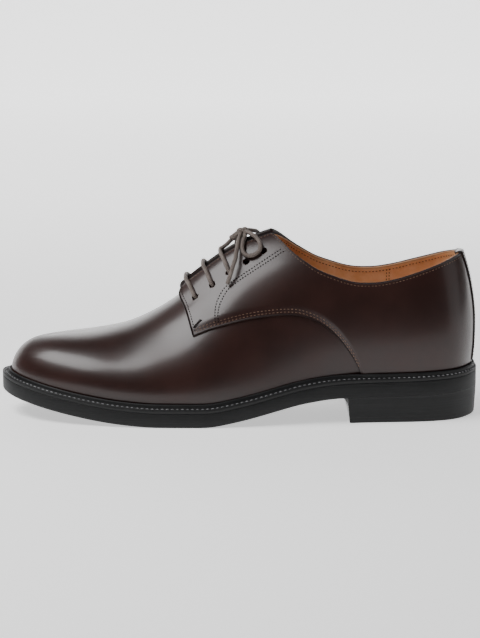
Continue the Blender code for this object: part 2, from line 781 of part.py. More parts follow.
def eyelet_cutter(side):
    """Bars that punch a side's eyelet holes, square to the leather."""
    work = bmesh.new()
    for number in range(EYELETS):
        turn, rise = eyelet_place(number, side)
        point = last_point(turn, rise, side)
        normal = last_normal(turn, rise, side)
        made = bmesh.ops.create_cone(work, cap_ends=True, segments=HOLE_SIDES,
                                     radius1=EYELET_DIAMETER / 2, radius2=EYELET_DIAMETER / 2,
                                     depth=4 * FACING_WALL)
        across = np.cross(normal, (1.0, 0.0, 0.0))
        across /= np.linalg.norm(across)
        second = np.cross(normal, across)
        for vertex in made["verts"]:
            x, y, z = vertex.co
            vertex.co = tuple(point + across * x + second * y + normal * (z + FACING_LIFT))
    mesh = bpy.data.meshes.new("eyelet_cutter_" + side_name(side))
    bmesh.ops.recalc_face_normals(work, faces=work.faces)
    work.to_mesh(mesh)
    work.free()
    cutter = bpy.data.objects.new(mesh.name, mesh)
    cutter.hide_render = True
    cutter.display_type = "WIRE"
    CUTTERS.objects.link(cutter)
    return cutter


def build_tongue(finish):
    """Tongue: a strip over the instep, tucked under the vamp's end and under the facings."""
    start = share_at(THROAT_PLACE - TONGUE_TUCK)
    furthest = share_at(THROAT_PLACE + TONGUE_REACH)
    rows = []
    for station in np.linspace(0.0, 1.0, TONGUE_STATIONS + 1):
        row = []
        for part in np.linspace(-1.0, 1.0, TONGUE_COLUMNS + 1):
            side = LATERAL if part <= 0 else MEDIAL
            end = furthest - TONGUE_ROUNDING * part * part
            share = start + (end - start) * station
            turn = float(turn_at(share))
            reach = abs(part) * (TONGUE_HALF_WIDTH + TONGUE_SPREAD * station)
            rise = float(rise_at_reach(turn, side, reach)[0])
            point = last_point(turn, rise, side)
            near = float(facing_share(point, share))
            free = float(behind_throat(share))
            low = -VAMP_WALL - CURVED_CLEARANCE
            high = -LINING_WALL - CURVED_CLEARANCE + FACING_LIFT * near
            top = float(smooth_step((share - share_at(THROAT_PLACE + SAG_START)) / SAG_BLEND))
            sag = TONGUE_SAG * top * max(0.0, 1 - (reach / SAG_HALF_WIDTH) ** 2)
            out = low + (high - low) * free - sag
            row.append(offset_point(turn, rise, side, np.array(out)))
        rows.append(row)
    grid = np.array(rows)
    return shell("tongue", [(LATERAL, grid, 1.0)], finish, TONGUE_WALL)


def build_backstay(finish):
    """Backstay: a narrow strip over the seam at the heel's back."""
    foot = BEAD_HEIGHT + 2 * CURVED_CLEARANCE
    rows = []
    for step in np.linspace(0.0, 1.0, BACKSTAY_STATIONS + 1):
        row = []
        for part in np.linspace(-1.0, 1.0, BACKSTAY_COLUMNS + 1):
            side = LATERAL if part <= 0 else MEDIAL
            width = abs(part) * BACKSTAY_WIDTH / 2 * (1 - BACKSTAY_TAPER * step)
            turn = 1.0
            for _ in range(3):
                top = float(rise_at_height(turn, side, topline_height(turn, side))[0])
                low = float(rise_at_height(turn, side, feather(turn, side)[2] + foot)[0])
                rise = low + (top - low) * step
                turns = np.linspace(0.85, 1.0, 61)
                spots = last_point(turns, np.full(turns.shape, rise), side)
                reach = np.abs(spots[:, 1] - Y_CENTRE)
                turn = float(np.interp(width, reach[::-1], turns[::-1]))
            out = QUARTER_COVER + CURVED_CLEARANCE + BACKSTAY_WALL
            row.append(offset_point(turn, rise, side, np.array(out)))
        rows.append(row)
    grid = np.array(rows).transpose(1, 0, 2)
    return shell("backstay", [(LATERAL, grid, 1.0)], finish, BACKSTAY_WALL)


def smooth_route(points, count):
    """Evenly spaced points on a smooth curve through a route's own points."""
    points = np.asarray(points, float)
    padded = np.concatenate([[2 * points[0] - points[1]], points, [2 * points[-1] - points[-2]]])
    dense = []
    for place in range(len(points) - 1):
        a, b, c, d = padded[place:place + 4]
        t = np.linspace(0, 1, 24, endpoint=False)[:, None]
        dense.append(0.5 * (2 * b + (c - a) * t + (2 * a - 5 * b + 4 * c - d) * t ** 2
                            + (3 * b - a - 3 * c + d) * t ** 3))
    dense = np.concatenate(dense + [points[-1:]])
    lengths = np.concatenate([[0], np.cumsum(np.linalg.norm(np.diff(dense, axis=0), axis=1))])
    wanted = np.linspace(0, lengths[-1], count)
    return np.stack([np.interp(wanted, lengths, dense[:, axis]) for axis in range(3)], axis=1)


def tube(name, points, finish, count, diameter=LACE_DIAMETER):
    """Round lace along a route, as a curve with filled caps."""
    curve = bpy.data.curves.new(name, "CURVE")
    curve.dimensions = "3D"
    curve.bevel_depth = diameter / 2
    curve.bevel_resolution = 2
    curve.use_fill_caps = True
    spline = curve.splines.new("POLY")
    route = smooth_route(points, count)
    spline.points.add(len(route) - 1)
    for place, point in zip(spline.points, route):
        place.co = (*point, 1.0)
    curve.materials.append(finish)
    made = bpy.data.objects.new(name, curve)
    COLLECTION.objects.link(made)
    return made


def build_lace_bar(number, finish):
    """Straight crossing: from an outer eyelet over the facings to the inner one."""
    lie = LACE_DIAMETER / 2 + LACE_CLEARANCE
    route = []
    for side in (LATERAL, MEDIAL):
        start, rise = eyelet_place(number, side)
        points = []
        for part in (0.0, 0.35, 0.7, 1.0):
            turn = float(turn_at(float(along_share(start)) - LACE_SLANT * part / LAST_LENGTH))
            edge = float(rise_at_reach(turn, side, FACING_GAP / 2)[0])
            spot = rise + (edge - rise) * part
            out = float(quarter_out(turn, spot, side)) + lie
            points.append(offset_point(turn, spot, side, np.array(out)))
        route += points if side == LATERAL else points[::-1]
    return tube("lace_bar_%d" % (number + 1), route, finish, 12)


# The tied end of the lace: routes chosen by hand, as distances from the knot's middle. A side's own
# loop and end run outwards, and their second value is the distance out from the middle.
KNOT = (0.0010, 0.0030, 0.1128)
KNOT_DIAMETER = 0.0062
KNOT_ROUTE = ((-0.0058, 0.0000, -0.0036), (-0.0030, 0.0000, -0.0012), (0.0010, 0.0000, 0.0014),
              (0.0048, 0.0000, 0.0026))
LOOP_ROUTE = ((0.0038, 0.0042, 0.0017), (0.0070, 0.0090, 0.0008), (0.0100, 0.0148, -0.0008),
              (0.0121, 0.0192, -0.0042), (0.0114, 0.0212, -0.0076), (0.0080, 0.0220, -0.0099),
              (0.0045, 0.0214, -0.0106), (0.0017, 0.0193, -0.0090), (0.0008, 0.0150, -0.0054),
              (0.0018, 0.0096, -0.0022), (0.0026, 0.0072, -0.0010))
END_ROUTE = ((-0.0006, 0.0050, -0.0008), (-0.0014, 0.0098, -0.0022), (-0.0022, 0.0156, -0.0052),
             (-0.0030, 0.0206, -0.0092), (-0.0034, 0.0234, -0.0122), (-0.0046, 0.0256, -0.0153),
             (-0.0058, 0.0276, -0.0190), (-0.0072, 0.0287, -0.0235), (-0.0086, 0.0294, -0.0275))
STRAND_ROUTE = ((-0.0115, -0.0008, -0.0086), (-0.0090, -0.0004, -0.0068), (-0.0068, 0.0000, -0.0046))


def build_lace_ties(finish):
    """Knot, loops and ends of the lace, and the strand that leads to the knot."""
    def route(points, side):
        return [(KNOT[0] + x, KNOT[1] + Y_CENTRE + side * y, KNOT[2] + z) for x, y, z in points]

    tube("lace_knot", route(KNOT_ROUTE, MEDIAL), finish, 5, KNOT_DIAMETER)
    tube("lace_strand", route(STRAND_ROUTE, MEDIAL), finish, 4)
    for side in (LATERAL, MEDIAL):
        tube("lace_loop_" + side_name(side), route(LOOP_ROUTE, side), finish, 14)
        tube("lace_end_" + side_name(side), route(END_ROUTE, side), finish, 10)


def build_shoe():
    leather = material("burgundy_leather", (0.055, 0.020, 0.017), 0.22)
    lining = material("tan_lining", (0.50, 0.24, 0.11), 0.6)
    rubber = material("black_rubber", (0.012, 0.012, 0.013), 0.5)
    lace = material("taupe_lace", (0.28, 0.22, 0.20), 0.8)
    build_outsole(rubber)
    build_heel(rubber)
    build_welt(rubber)
    build_insole(lining)
    upper = build_upper(leather)
    for side in (LATERAL, MEDIAL):
        quarter = build_quarter(side, leather)
        cutter = eyelet_cutter(side)
        cut(quarter, cutter)
        cut(upper, cutter)
    build_tongue(leather)
    build_backstay(leather)
    for number in range(LACE_BARS):
        build_lace_bar(number, lace)
    build_lace_ties(lace)


Y_CENTRE = 0.0
edge_points = round_the_shoe(sole_edge)
Y_CENTRE = -(edge_points[:, 1].min() + edge_points[:, 1].max()) / 2

clear_scene()
build_shoe()
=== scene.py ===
# %% [markdown]
# # A left derby shoe, dressed for the studio
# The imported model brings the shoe's solids: sole, heel, welt, hollow upper, quarters, tongue and laces.
# This lesson puts the looks on them. Each solid is coarse, because MuJoCo and the STEP files want few
# faces, so most of them are drawn again here as fine numpy surfaces of the same size, in the same place.
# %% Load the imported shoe
import math

import bmesh
import bpy
import numpy as np
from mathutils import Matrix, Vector


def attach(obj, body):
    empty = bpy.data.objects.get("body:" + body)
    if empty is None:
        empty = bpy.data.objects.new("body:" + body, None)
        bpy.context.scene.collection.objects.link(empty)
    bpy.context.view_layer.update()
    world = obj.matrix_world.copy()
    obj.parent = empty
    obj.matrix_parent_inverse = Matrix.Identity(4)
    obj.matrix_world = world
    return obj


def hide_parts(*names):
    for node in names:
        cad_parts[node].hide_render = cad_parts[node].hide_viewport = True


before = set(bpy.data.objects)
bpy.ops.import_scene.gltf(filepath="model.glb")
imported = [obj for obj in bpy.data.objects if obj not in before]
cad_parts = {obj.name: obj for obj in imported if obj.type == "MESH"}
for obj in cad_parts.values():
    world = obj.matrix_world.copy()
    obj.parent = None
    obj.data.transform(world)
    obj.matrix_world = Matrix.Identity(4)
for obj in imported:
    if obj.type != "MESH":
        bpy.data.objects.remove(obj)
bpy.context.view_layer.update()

# %% [markdown]
# ## Camera
# The photograph is nearly a pure side view from about ten degrees above, taken with a long lens. A long
# lens far away keeps both ends of the shoe the same size, so the camera stands 1.6 m off. The lens is then
# chosen so that the frame's long side covers 403 mm at the shoe's middle.
# %% Camera at the photograph's angle
CAMERA_DISTANCE = 1.60
CAMERA_ELEVATION = math.radians(10.6)
FRAME_HEIGHT = 0.4032
AIM = Vector((0.0004, 0.0, 0.0587))

lens = bpy.data.cameras.new("camera")
lens.sensor_width = 36.0
lens.lens = lens.sensor_width * CAMERA_DISTANCE / FRAME_HEIGHT
lens.clip_start, lens.clip_end = 0.05, 30.0
camera = bpy.data.objects.new("camera", lens)
bpy.context.scene.collection.objects.link(camera)
toward = Vector((0.0, math.cos(CAMERA_ELEVATION), -math.sin(CAMERA_ELEVATION)))
camera.location = AIM - toward * CAMERA_DISTANCE
camera.rotation_euler = toward.to_track_quat("-Z", "Y").to_euler()
bpy.context.scene.camera = camera
print("lens of", round(lens.lens, 1), "mm")

# %% [markdown]
# ## The last
# A shoemaker pulls leather over a last, a block shaped like a foot, so every piece of the upper is a skin of
# one body. Two numbers name each place on it: *turn* runs from the toe (0) to the heel (1) and *rise* from
# the bottom edge (0) to the ridge on top (1). The sizes and tables below are the ones the solids were built
# from. Their curves are blurred a little, because a polished surface shows every kink in its slope.
# %% Sizes of the shoe, in metres
SOLE_LENGTH, BALL_WIDTH = 0.300, 0.107
OUTSOLE_THICKNESS, WELT_THICKNESS, WELT_EDGE, WELT_TUCK = 0.0086, 0.0027, 0.0055, 0.0050
BEAD_HEIGHT, BEAD_WIDTH = 0.0026, 0.0016
TOE_SPRING, HEEL_RISE, HEEL_LENGTH, HEEL_TAPER = 0.0153, 0.0183, 0.0825, 0.0010
BREAST_FLARE, BREAST_SKEW = 0.010, -0.0022
TOE_BOX_HEIGHT, INSTEP_HEIGHT, TOE_LEAN, TOE_LEAN_END = 0.0510, 0.1125, 0.0235, 0.26
HEEL_BULGE, HEEL_BULGE_START, RIDGE_SHIFT = 0.0014, 0.70, 0.0030
COLLAR_FRONT_HEIGHT, COLLAR_BACK_HEIGHT = 0.1090, 0.1025
COLLAR_LOW = {-1: 0.0867, 1: 0.0875}
THROAT_PLACE, THROAT_ROUNDING = 0.1085, 0.008
FACING_GAP, FACING_SETBACK, FACING_LEAD, SEAM_RISE = 0.014, 0.0020, 0.0012, 0.0485
VAMP_WALL, LINING_WALL, QUARTER_WALL, FACING_WALL = 0.0020, 0.0013, 0.0013, 0.0030
FACING_LIFT, FACING_BLEND, TONGUE_WALL, INSOLE_THICKNESS = 0.0016, 0.024, 0.0020, 0.0025
BACKSTAY_WALL, BACKSTAY_WIDTH, BACKSTAY_TAPER, ROUND_EDGE = 0.0009, 0.014, 0.25, 0.0006
SEAM_ALLOWANCE, SEAM_FRONT_BLEND = 0.010, 0.12
EYELETS, EYELET_DIAMETER, EYELET_STEP, FIRST_EYELET, LACE_SLANT = 5, 0.0040, 0.0106, 0.1180, 0.0028
EYELET_INSETS = (0.0142, 0.0138, 0.0130, 0.0120, 0.0101)
LACE_DIAMETER, LACE_CLEARANCE, CLEARANCE, CURVED_CLEARANCE = 0.0026, 0.0006, 0.0003, 0.0008
LATERAL, MEDIAL = -1, 1
SIDES = (LATERAL, MEDIAL)
LAST_LENGTH = SOLE_LENGTH - 1.95 * WELT_EDGE
LAST_TOE = -SOLE_LENGTH / 2 + WELT_EDGE
WELT_BASE = OUTSOLE_THICKNESS + CLEARANCE
FEATHER_BASE = WELT_BASE + WELT_THICKNESS + CLEARANCE
QUARTER_COVER = CURVED_CLEARANCE + QUARTER_WALL
print("the last is", round(1000 * LAST_LENGTH, 1), "mm long")

# %% Tables of the last, each row a place along it
PLAN = ("lateral medial edge_lateral edge_medial", (
    (0.000, 0.000, 0.000, 1.00, 1.00), (0.035, 0.437, 0.458, 1.00, 1.00), (0.086, 0.656, 0.700, 1.00, 1.00),
    (0.156, 0.812, 0.868, 1.00, 1.00), (0.242, 0.927, 0.972, 1.00, 1.00), (0.328, 0.990, 0.990, 1.00, 1.00),
    (0.415, 1.000, 0.885, 1.00, 1.00), (0.518, 0.927, 0.715, 1.05, 1.10), (0.622, 0.812, 0.590, 1.12, 1.20),
    (0.709, 0.730, 0.560, 1.12, 1.20), (0.795, 0.677, 0.590, 1.08, 1.12), (0.881, 0.646, 0.618, 1.00, 1.00),
    (0.951, 0.533, 0.531, 0.96, 0.96), (1.000, 0.000, 0.000, 0.95, 0.95)))
UNDERSIDE = ("toe heel", (
    (0.000, 1.00, 0.00), (0.030, 0.84, 0.00), (0.063, 0.71, 0.00), (0.100, 0.56, 0.00), (0.150, 0.375, 0.00),
    (0.207, 0.195, 0.00), (0.260, 0.075, 0.00), (0.330, 0.00, 0.00), (0.430, 0.00, 0.00), (0.480, 0.00, 0.12),
    (0.523, 0.00, 0.27), (0.575, 0.00, 0.49), (0.627, 0.00, 0.70), (0.690, 0.00, 0.85), (0.730, 0.00, 0.89),
    (0.837, 0.00, 0.92), (1.000, 0.00, 1.00)))
SECTIONS = ("ridge belly_height belly_lateral belly_medial flank_height flank_lateral flank_medial "
            "crown_lateral crown_medial", (
    (0.000, -0.039, 0.33, 1.10, 1.10, 0.85, 0.90, 0.90, 0.55, 0.55),
    (0.035, -0.021, 0.33, 1.10, 1.10, 0.85, 0.90, 0.90, 0.55, 0.55),
    (0.086, -0.010, 0.33, 1.10, 1.10, 0.85, 0.90, 0.92, 0.55, 0.55),
    (0.156, 0.010, 0.33, 1.12, 1.10, 0.84, 0.90, 0.92, 0.55, 0.55),
    (0.242, 0.065, 0.32, 1.12, 1.08, 0.78, 0.86, 0.92, 0.50, 0.50),
    (0.328, 0.247, 0.29, 1.10, 1.07, 0.70, 0.82, 0.92, 0.44, 0.46),
    (0.370, 0.380, 0.27, 1.09, 1.09, 0.67, 0.81, 0.95, 0.42, 0.47),
    (0.415, 0.563, 0.25, 1.08, 1.12, 0.65, 0.80, 0.98, 0.42, 0.50),
    (0.518, 0.885, 0.25, 1.02, 1.20, 0.67, 0.81, 1.08, 0.50, 0.66),
    (0.622, 1.040, 0.25, 1.00, 1.34, 0.68, 0.92, 1.28, 0.60, 0.83),
    (0.709, 1.092, 0.25, 1.06, 1.40, 0.62, 1.00, 1.30, 0.64, 0.83),
    (0.795, 1.122, 0.25, 1.14, 1.33, 0.60, 1.02, 1.18, 0.62, 0.71),
    (0.881, 1.138, 0.25, 1.16, 1.20, 0.60, 1.02, 1.05, 0.60, 0.63),
    (0.951, 1.138, 0.25, 1.16, 1.16, 0.60, 1.00, 1.00, 0.60, 0.60),
    (1.000, 1.138, 0.25, 1.16, 1.16, 0.60, 1.00, 1.00, 0.60, 0.60)))
BACK = ("out", (
    (0.00, 0.00), (0.10, 0.45), (0.20, 0.85), (0.36, 1.00), (0.47, 0.85), (0.58, 0.30), (0.66, -0.30),
    (0.73, -0.90), (0.88, -2.70), (1.00, -4.60), (1.40, -11.0)))
TOPLINE = ("front back", (
    (0.527, 1.12, 0.00), (0.569, 1.10, 0.00), (0.595, 0.97, 0.00), (0.609, 0.820, 0.00), (0.640, 0.560, 0.00),
    (0.667, 0.345, 0.00), (0.700, 0.190, 0.00), (0.730, 0.065, 0.00), (0.759, 0.00, 0.00), (0.787, 0.00, 0.00),
    (0.834, 0.00, 0.117), (0.880, 0.00, 0.33), (0.930, 0.00, 0.59), (0.980, 0.00, 0.88), (1.000, 0.00, 1.00)))
SEAM = ("rise", (
    (0.401, 0.872), (0.445, 0.967), (0.512, 1.000), (0.579, 0.957), (0.618, 0.903), (0.659, 0.792),
    (0.699, 0.608), (0.732, 0.365), (0.756, 0.113), (0.763, 0.000)))
SEAM_START, SEAM_END = SEAM[1][0][0], SEAM[1][-1][0]
COLLAR_BEGINS, FACING_FADES, FACING_ENDS = (TOPLINE[1][row][0] for row in (0, 3, 6))
print("tables of", [len(table[1]) for table in (PLAN, UNDERSIDE, SECTIONS, BACK, TOPLINE, SEAM)], "rows")


# %% Curves through the tables
def smooth_step(value):
    """Rises from 0 to 1 as 3v squared less 2v cubed, with level ends."""
    value = np.clip(value, 0.0, 1.0)
    return value * value * (3.0 - 2.0 * value)


def unit(vectors, least=0.0):
    """Each vector over its own length, or over the least length if it is shorter."""
    return vectors / np.maximum(np.linalg.norm(vectors, axis=-1, keepdims=True), least)


def walked(points, axis=0):
    """Distance walked along a line or along one direction of a grid, from its first point."""
    total = np.cumsum(np.linalg.norm(np.diff(points, axis=axis), axis=-1), axis=axis)
    return np.concatenate([np.zeros_like(np.take(total, [0], axis=axis)), total], axis=axis)


def points_at(wanted, distances, points):
    """Points of a line at wanted distances along it."""
    return np.stack([np.interp(wanted, distances, points[:, axis]) for axis in range(3)], axis=-1)


def curve_through(places, heights, at):
    """Cubic pieces whose slopes are harmonic means of the steps beside them, so none swings past a value."""
    steps = np.diff(places)
    grades = np.diff(heights) / steps
    before, after = grades[:-1], grades[1:]
    turning = before * after <= 0
    weight_a, weight_b = 2 * steps[1:] + steps[:-1], steps[1:] + 2 * steps[:-1]
    parts = weight_a / np.where(turning, 1, before) + weight_b / np.where(turning, 1, after)
    middle = (weight_a + weight_b) / parts
    slopes = np.concatenate(([grades[0]], np.where(turning, 0.0, middle), [grades[-1]]))
    row = np.clip(np.searchsorted(places, at) - 1, 0, len(steps) - 1)
    width = steps[row]
    t = np.clip((at - places[row]) / width, 0.0, 1.0)
    return (heights[row] * (1 + 2 * t) * (1 - t) ** 2 + slopes[row] * width * t * (1 - t) ** 2
            + heights[row + 1] * t * t * (3 - 2 * t) + slopes[row + 1] * width * t * t * (t - 1))


def blurred(places, heights, spread):
    """The curve on a fine grid, averaged under a bell of this spread. Both ends keep their values, because
    the curve is carried past them turned half round."""
    fine = np.linspace(places[0], places[-1], 6001)
    curve = curve_through(places, heights, fine)
    step = fine[1] - fine[0]
    reach = int(3.5 * spread / step)
    bell = np.exp(-0.5 * (np.arange(-reach, reach + 1) * step / spread) ** 2)
    before, after = 2 * curve[0] - curve[reach:0:-1], 2 * curve[-1] - curve[-2:-reach - 2:-1]
    long = np.concatenate([before, curve, after])
    return fine, np.convolve(long, bell / bell.sum(), "valid")


def lookup(table, spread, power=1):
    """One blurred curve for each named column of a table."""
    rows = np.array(table[1])
    return {name: blurred(rows[:, 0], rows[:, number + 1] ** power, spread)
            for number, name in enumerate(table[0].split())}


def read(curves, name, at):
    return np.interp(at, *curves[name])


plan_squares = lookup(PLAN, 0.012, power=2)
plan_edges = lookup(PLAN, 0.020)
under_curves = lookup(UNDERSIDE, 0.012)
section_curves = lookup(SECTIONS, 0.018)
back_curves = lookup(BACK, 0.030)
topline_curves = lookup(TOPLINE, 0.010)
seam_curves = lookup(SEAM, 0.006)
print("widest half of the last:", round(math.sqrt(plan_squares["lateral"][1].max()), 3), "of half its width")

# %% [markdown]
# A section across the last is one smooth curve pulled by five points: the bottom edge, the belly, the flank,
# the crown and the ridge. Weights that always add up to one mix the five, so the whole section is a sum of
# five products, worked out for every place at once.


# %% The last's surface
def side_name(side):
    return "lateral" if side == LATERAL else "medial"


def along_share(turn):
    """Share of the length at a turn, (1 - cos pi turn) / 2, which sets points close at both ends."""
    return (1 - np.cos(np.pi * np.asarray(turn, float))) / 2


def turn_at(share):
    return np.arccos(1 - 2 * np.asarray(share, float)) / np.pi


def underside(x):
    """Height of the outsole's underside: toe spring in front, the raised waist behind."""
    share = x / SOLE_LENGTH + 0.5
    return TOE_SPRING * read(under_curves, "toe", share) + HEEL_RISE * read(under_curves, "heel", share)


def half_width(turn, side):
    """Root of a smooth square, so that both ends of the outline come out round."""
    square = read(plan_squares, side_name(side), along_share(turn))
    return (BALL_WIDTH / 2 - WELT_EDGE) * np.sqrt(np.maximum(square, 0.0))


def feather(turn, side):
    """Bottom edge of the last."""
    x = LAST_TOE + LAST_LENGTH * along_share(turn)
    return np.stack([x, side * half_width(turn, side) + y_centre, underside(x) + FEATHER_BASE], axis=-1)


def plan_normal(turn, side):
    """Level direction out of the bottom edge: its slope turned by a right angle."""
    way = feather(np.clip(turn + 1e-3, 0, 1), side) - feather(np.clip(turn - 1e-3, 0, 1), side)
    normal = side * np.stack([-way[..., 1], way[..., 0], 0 * way[..., 0]], axis=-1)
    return unit(normal)


def edge_reach(turn, side):
    """How far the sole stands out of the last."""
    return WELT_EDGE * read(plan_edges, "edge_" + side_name(side), along_share(turn))


def ridge_shift(share):
    """The ridge lies a little towards the inner side over the instep."""
    return RIDGE_SHIFT * smooth_step(share / 0.3) * (1 - smooth_step((share - 0.65) / 0.3))


def last_point(turn, rise, side):
    """Section of five weighted points, leaned back at the toe and curved in at the heel's back."""
    turn, rise = np.broadcast_arrays(np.asarray(turn, float), np.asarray(rise, float))
    share = along_share(turn)
    base = feather(turn, side)
    name = side_name(side)
    ridge = TOE_BOX_HEIGHT + (INSTEP_HEIGHT - TOE_BOX_HEIGHT) * read(section_curves, "ridge", share)
    weights = [math.comb(4, power) * rise ** power * (1 - rise) ** (4 - power) for power in range(5)]
    out = (weights[0] + weights[1] * read(section_curves, "belly_" + name, share)
           + weights[2] * read(section_curves, "flank_" + name, share)
           + weights[3] * read(section_curves, "crown_" + name, share))
    up = (weights[1] * read(section_curves, "belly_height", share)
          + weights[2] * read(section_curves, "flank_height", share) + weights[3] + weights[4])
    z = base[..., 2] + (ridge - base[..., 2]) * up
    y = y_centre + side * half_width(turn, side) * out + ridge_shift(share) * (weights[3] + weights[4])
    lean = TOE_LEAN * (1 - smooth_step(share / TOE_LEAN_END)) * (1 - np.sqrt(np.maximum(1 - up * up, 0.0)))
    height = (z - base[..., 2]) / (COLLAR_BACK_HEIGHT - HEEL_RISE - FEATHER_BASE)
    fade = smooth_step((share - HEEL_BULGE_START) / (1 - HEEL_BULGE_START))
    bulge = HEEL_BULGE * fade * read(back_curves, "out", height)
    return np.stack([base[..., 0] + lean + bulge, y, z], axis=-1)


def last_normal(turn, rise, side):
    """Direction out of the last: across the slopes along it and up it."""
    step = 1e-3
    turn, rise = np.broadcast_arrays(np.asarray(turn, float), np.asarray(rise, float))
    turns, rises = ([np.clip(middle + by, 0, 1) for by in (step, -step)] for middle in (turn, rise))
    along = last_point(turns[0], rise, side) - last_point(turns[1], rise, side)
    upward = last_point(turn, rises[0], side) - last_point(turn, rises[1], side)
    normal = np.cross(along, upward) * -side
    return unit(normal)


def offset_point(turn, rise, side, out):
    return last_point(turn, rise, side) + last_normal(turn, rise, side) * np.asarray(out)[..., None]


y_centre = 0.0
outline_turns = np.linspace(0.0, 1.0, 401)
outline = [feather(outline_turns, side)
           + plan_normal(outline_turns, side) * edge_reach(outline_turns, side)[:, None]
           for side in SIDES]
y_centre = -(outline[0][:, 1].min() + outline[1][:, 1].max()) / 2
print("the sole is", round(1000 * (outline[1][:, 1].max() - outline[0][:, 1].min()), 1), "mm wide")

# %% [markdown]
# The pieces of the upper are cut along heights and distances, such as the collar's edge or the facing's, so
# two helpers turn those back into rises. Each works on a whole table of heights, one row for each turn, and
# finds where the row first passes its goal.


# %% Finding a rise
def rise_where(values, rises, goal):
    """Rise at which each row of values first reaches its goal, on a straight line between two samples."""
    above = values >= goal[..., None]
    spot = np.where(above.any(-1), above.argmax(-1), values.shape[-1] - 1)
    spot = np.maximum(spot, 1)[..., None]
    low, high = np.take_along_axis(values, spot - 1, -1), np.take_along_axis(values, spot, -1)
    part = np.clip((goal[..., None] - low) / np.where(high == low, 1.0, high - low), 0.0, 1.0)
    return (rises[spot - 1] + part * (rises[spot] - rises[spot - 1]))[..., 0]


def rise_at_height(turn, side, height):
    rises = np.linspace(0.0, 1.0, 401)
    return rise_where(last_point(turn[:, None], rises, side)[..., 2], rises, height)


def rise_at_reach(turn, side, reach):
    """Rise at a distance from the ridge, measured across the shoe."""
    rises = np.linspace(0.25, 1.0, 401)
    centre = y_centre + ridge_shift(along_share(turn))
    distance = side * (last_point(turn[:, None], rises, side)[..., 1] - centre[:, None])
    return rise_where(-distance, rises, -np.broadcast_to(reach, turn.shape))


def collar_height(turn, side):
    share = along_share(turn)
    low = COLLAR_LOW[side]
    return (low + (COLLAR_FRONT_HEIGHT - low) * read(topline_curves, "front", share)
            + (COLLAR_BACK_HEIGHT - low) * read(topline_curves, "back", share)) - ROUND_EDGE


def edge_rise(turn, side, reach):
    """The lower of the facing's edge and the collar's."""
    share = along_share(turn)
    facing = np.where(share < FACING_ENDS, rise_at_reach(turn, side, reach), 1.0)
    collar = rise_at_height(turn, side, collar_height(turn, side))
    return np.minimum(facing, np.where(share > COLLAR_BEGINS, collar, 1.0))


def opening_rise(turn, side):
    past = (along_share(turn) - THROAT_PLACE / LAST_LENGTH) * LAST_LENGTH
    reach = (FACING_GAP / 2 + FACING_SETBACK) * np.sqrt(np.clip(past / THROAT_ROUNDING, 0.0, 1.0))
    return np.where(past <= 0, 1.0, edge_rise(turn, side, reach))


def facing_share(point, share):
    """1 along the throat, 0 away from it and at the collar."""
    distance = np.abs(point[..., 1] - y_centre - ridge_shift(share))
    before_collar = 1 - smooth_step((share - FACING_FADES) / (FACING_ENDS - FACING_FADES))
    return smooth_step((FACING_BLEND - distance) / (FACING_BLEND - FACING_GAP / 2)) * before_collar


def behind_throat(share):
    return smooth_step((share * LAST_LENGTH - THROAT_PLACE) / (1.5 * THROAT_ROUNDING))


def seam_height(share):
    """Height of the quarter's lower edge above the last's bottom."""
    return SEAM_RISE * read(seam_curves, "rise", np.clip(share, SEAM_START, SEAM_END)) * (share < SEAM_END)


def quarter_out(turn, rise, side):
    share = along_share(turn)
    near = facing_share(last_point(turn, rise, side), share)
    return QUARTER_COVER + (FACING_LIFT + FACING_WALL - QUARTER_WALL) * near


print("collar's lowest height:", round(1000 * float(collar_height(np.array([0.7]), LATERAL)[0]), 1), "mm")

# %% [markdown]
# ## Making meshes
# Every new piece is a few *sheets*: grids of points in rows and columns. A sheet knows its finish, which way
# its faces look, and two maps of numbers that the finishes read, such as the distance from an edge. The maps
# are UV maps in millimetres, because those survive a boolean cut. Sheets that share an edge
# share its points, and `remove_doubles` then sews them together.


# %% Sheets into a mesh
FAR = 40.0  # what a map says away from every edge, in millimetres
SEWN, THREAD_SEWN, TOO_SMALL = 2e-6, 1e-6, 1e-7
RIM_STEPS = 6


def sheet(points, finish=0, flip=False, where=None, edges=None):
    """A grid of points. where and edges are two numbers at each point, in millimetres."""
    blank = np.zeros(points.shape[:2] + (2,))
    return {"points": points, "finish": finish, "flip": flip,
            "where": blank if where is None else where, "edges": blank if edges is None else edges}


def grid_quads(rows, columns):
    """Corner numbers of each square of a grid, as one array."""
    corner = np.arange(rows - 1)[:, None] * columns + np.arange(columns - 1)
    return np.stack([corner, corner + columns, corner + columns + 1, corner + 1], axis=-1).reshape(-1, 4)


def sewn(name, mesh, reach, outward=False):
    """Object of a mesh whose points within reach of each other have been made one."""
    work = bmesh.new()
    work.from_mesh(mesh)
    bmesh.ops.remove_doubles(work, verts=work.verts, dist=reach)
    bmesh.ops.dissolve_degenerate(work, dist=TOO_SMALL, edges=work.edges)
    if outward:
        bmesh.ops.recalc_face_normals(work, faces=work.faces)
    work.to_mesh(mesh)
    work.free()
    mesh.shade_smooth()
    made = bpy.data.objects.new(name, mesh)
    bpy.context.scene.collection.objects.link(made)
    return made


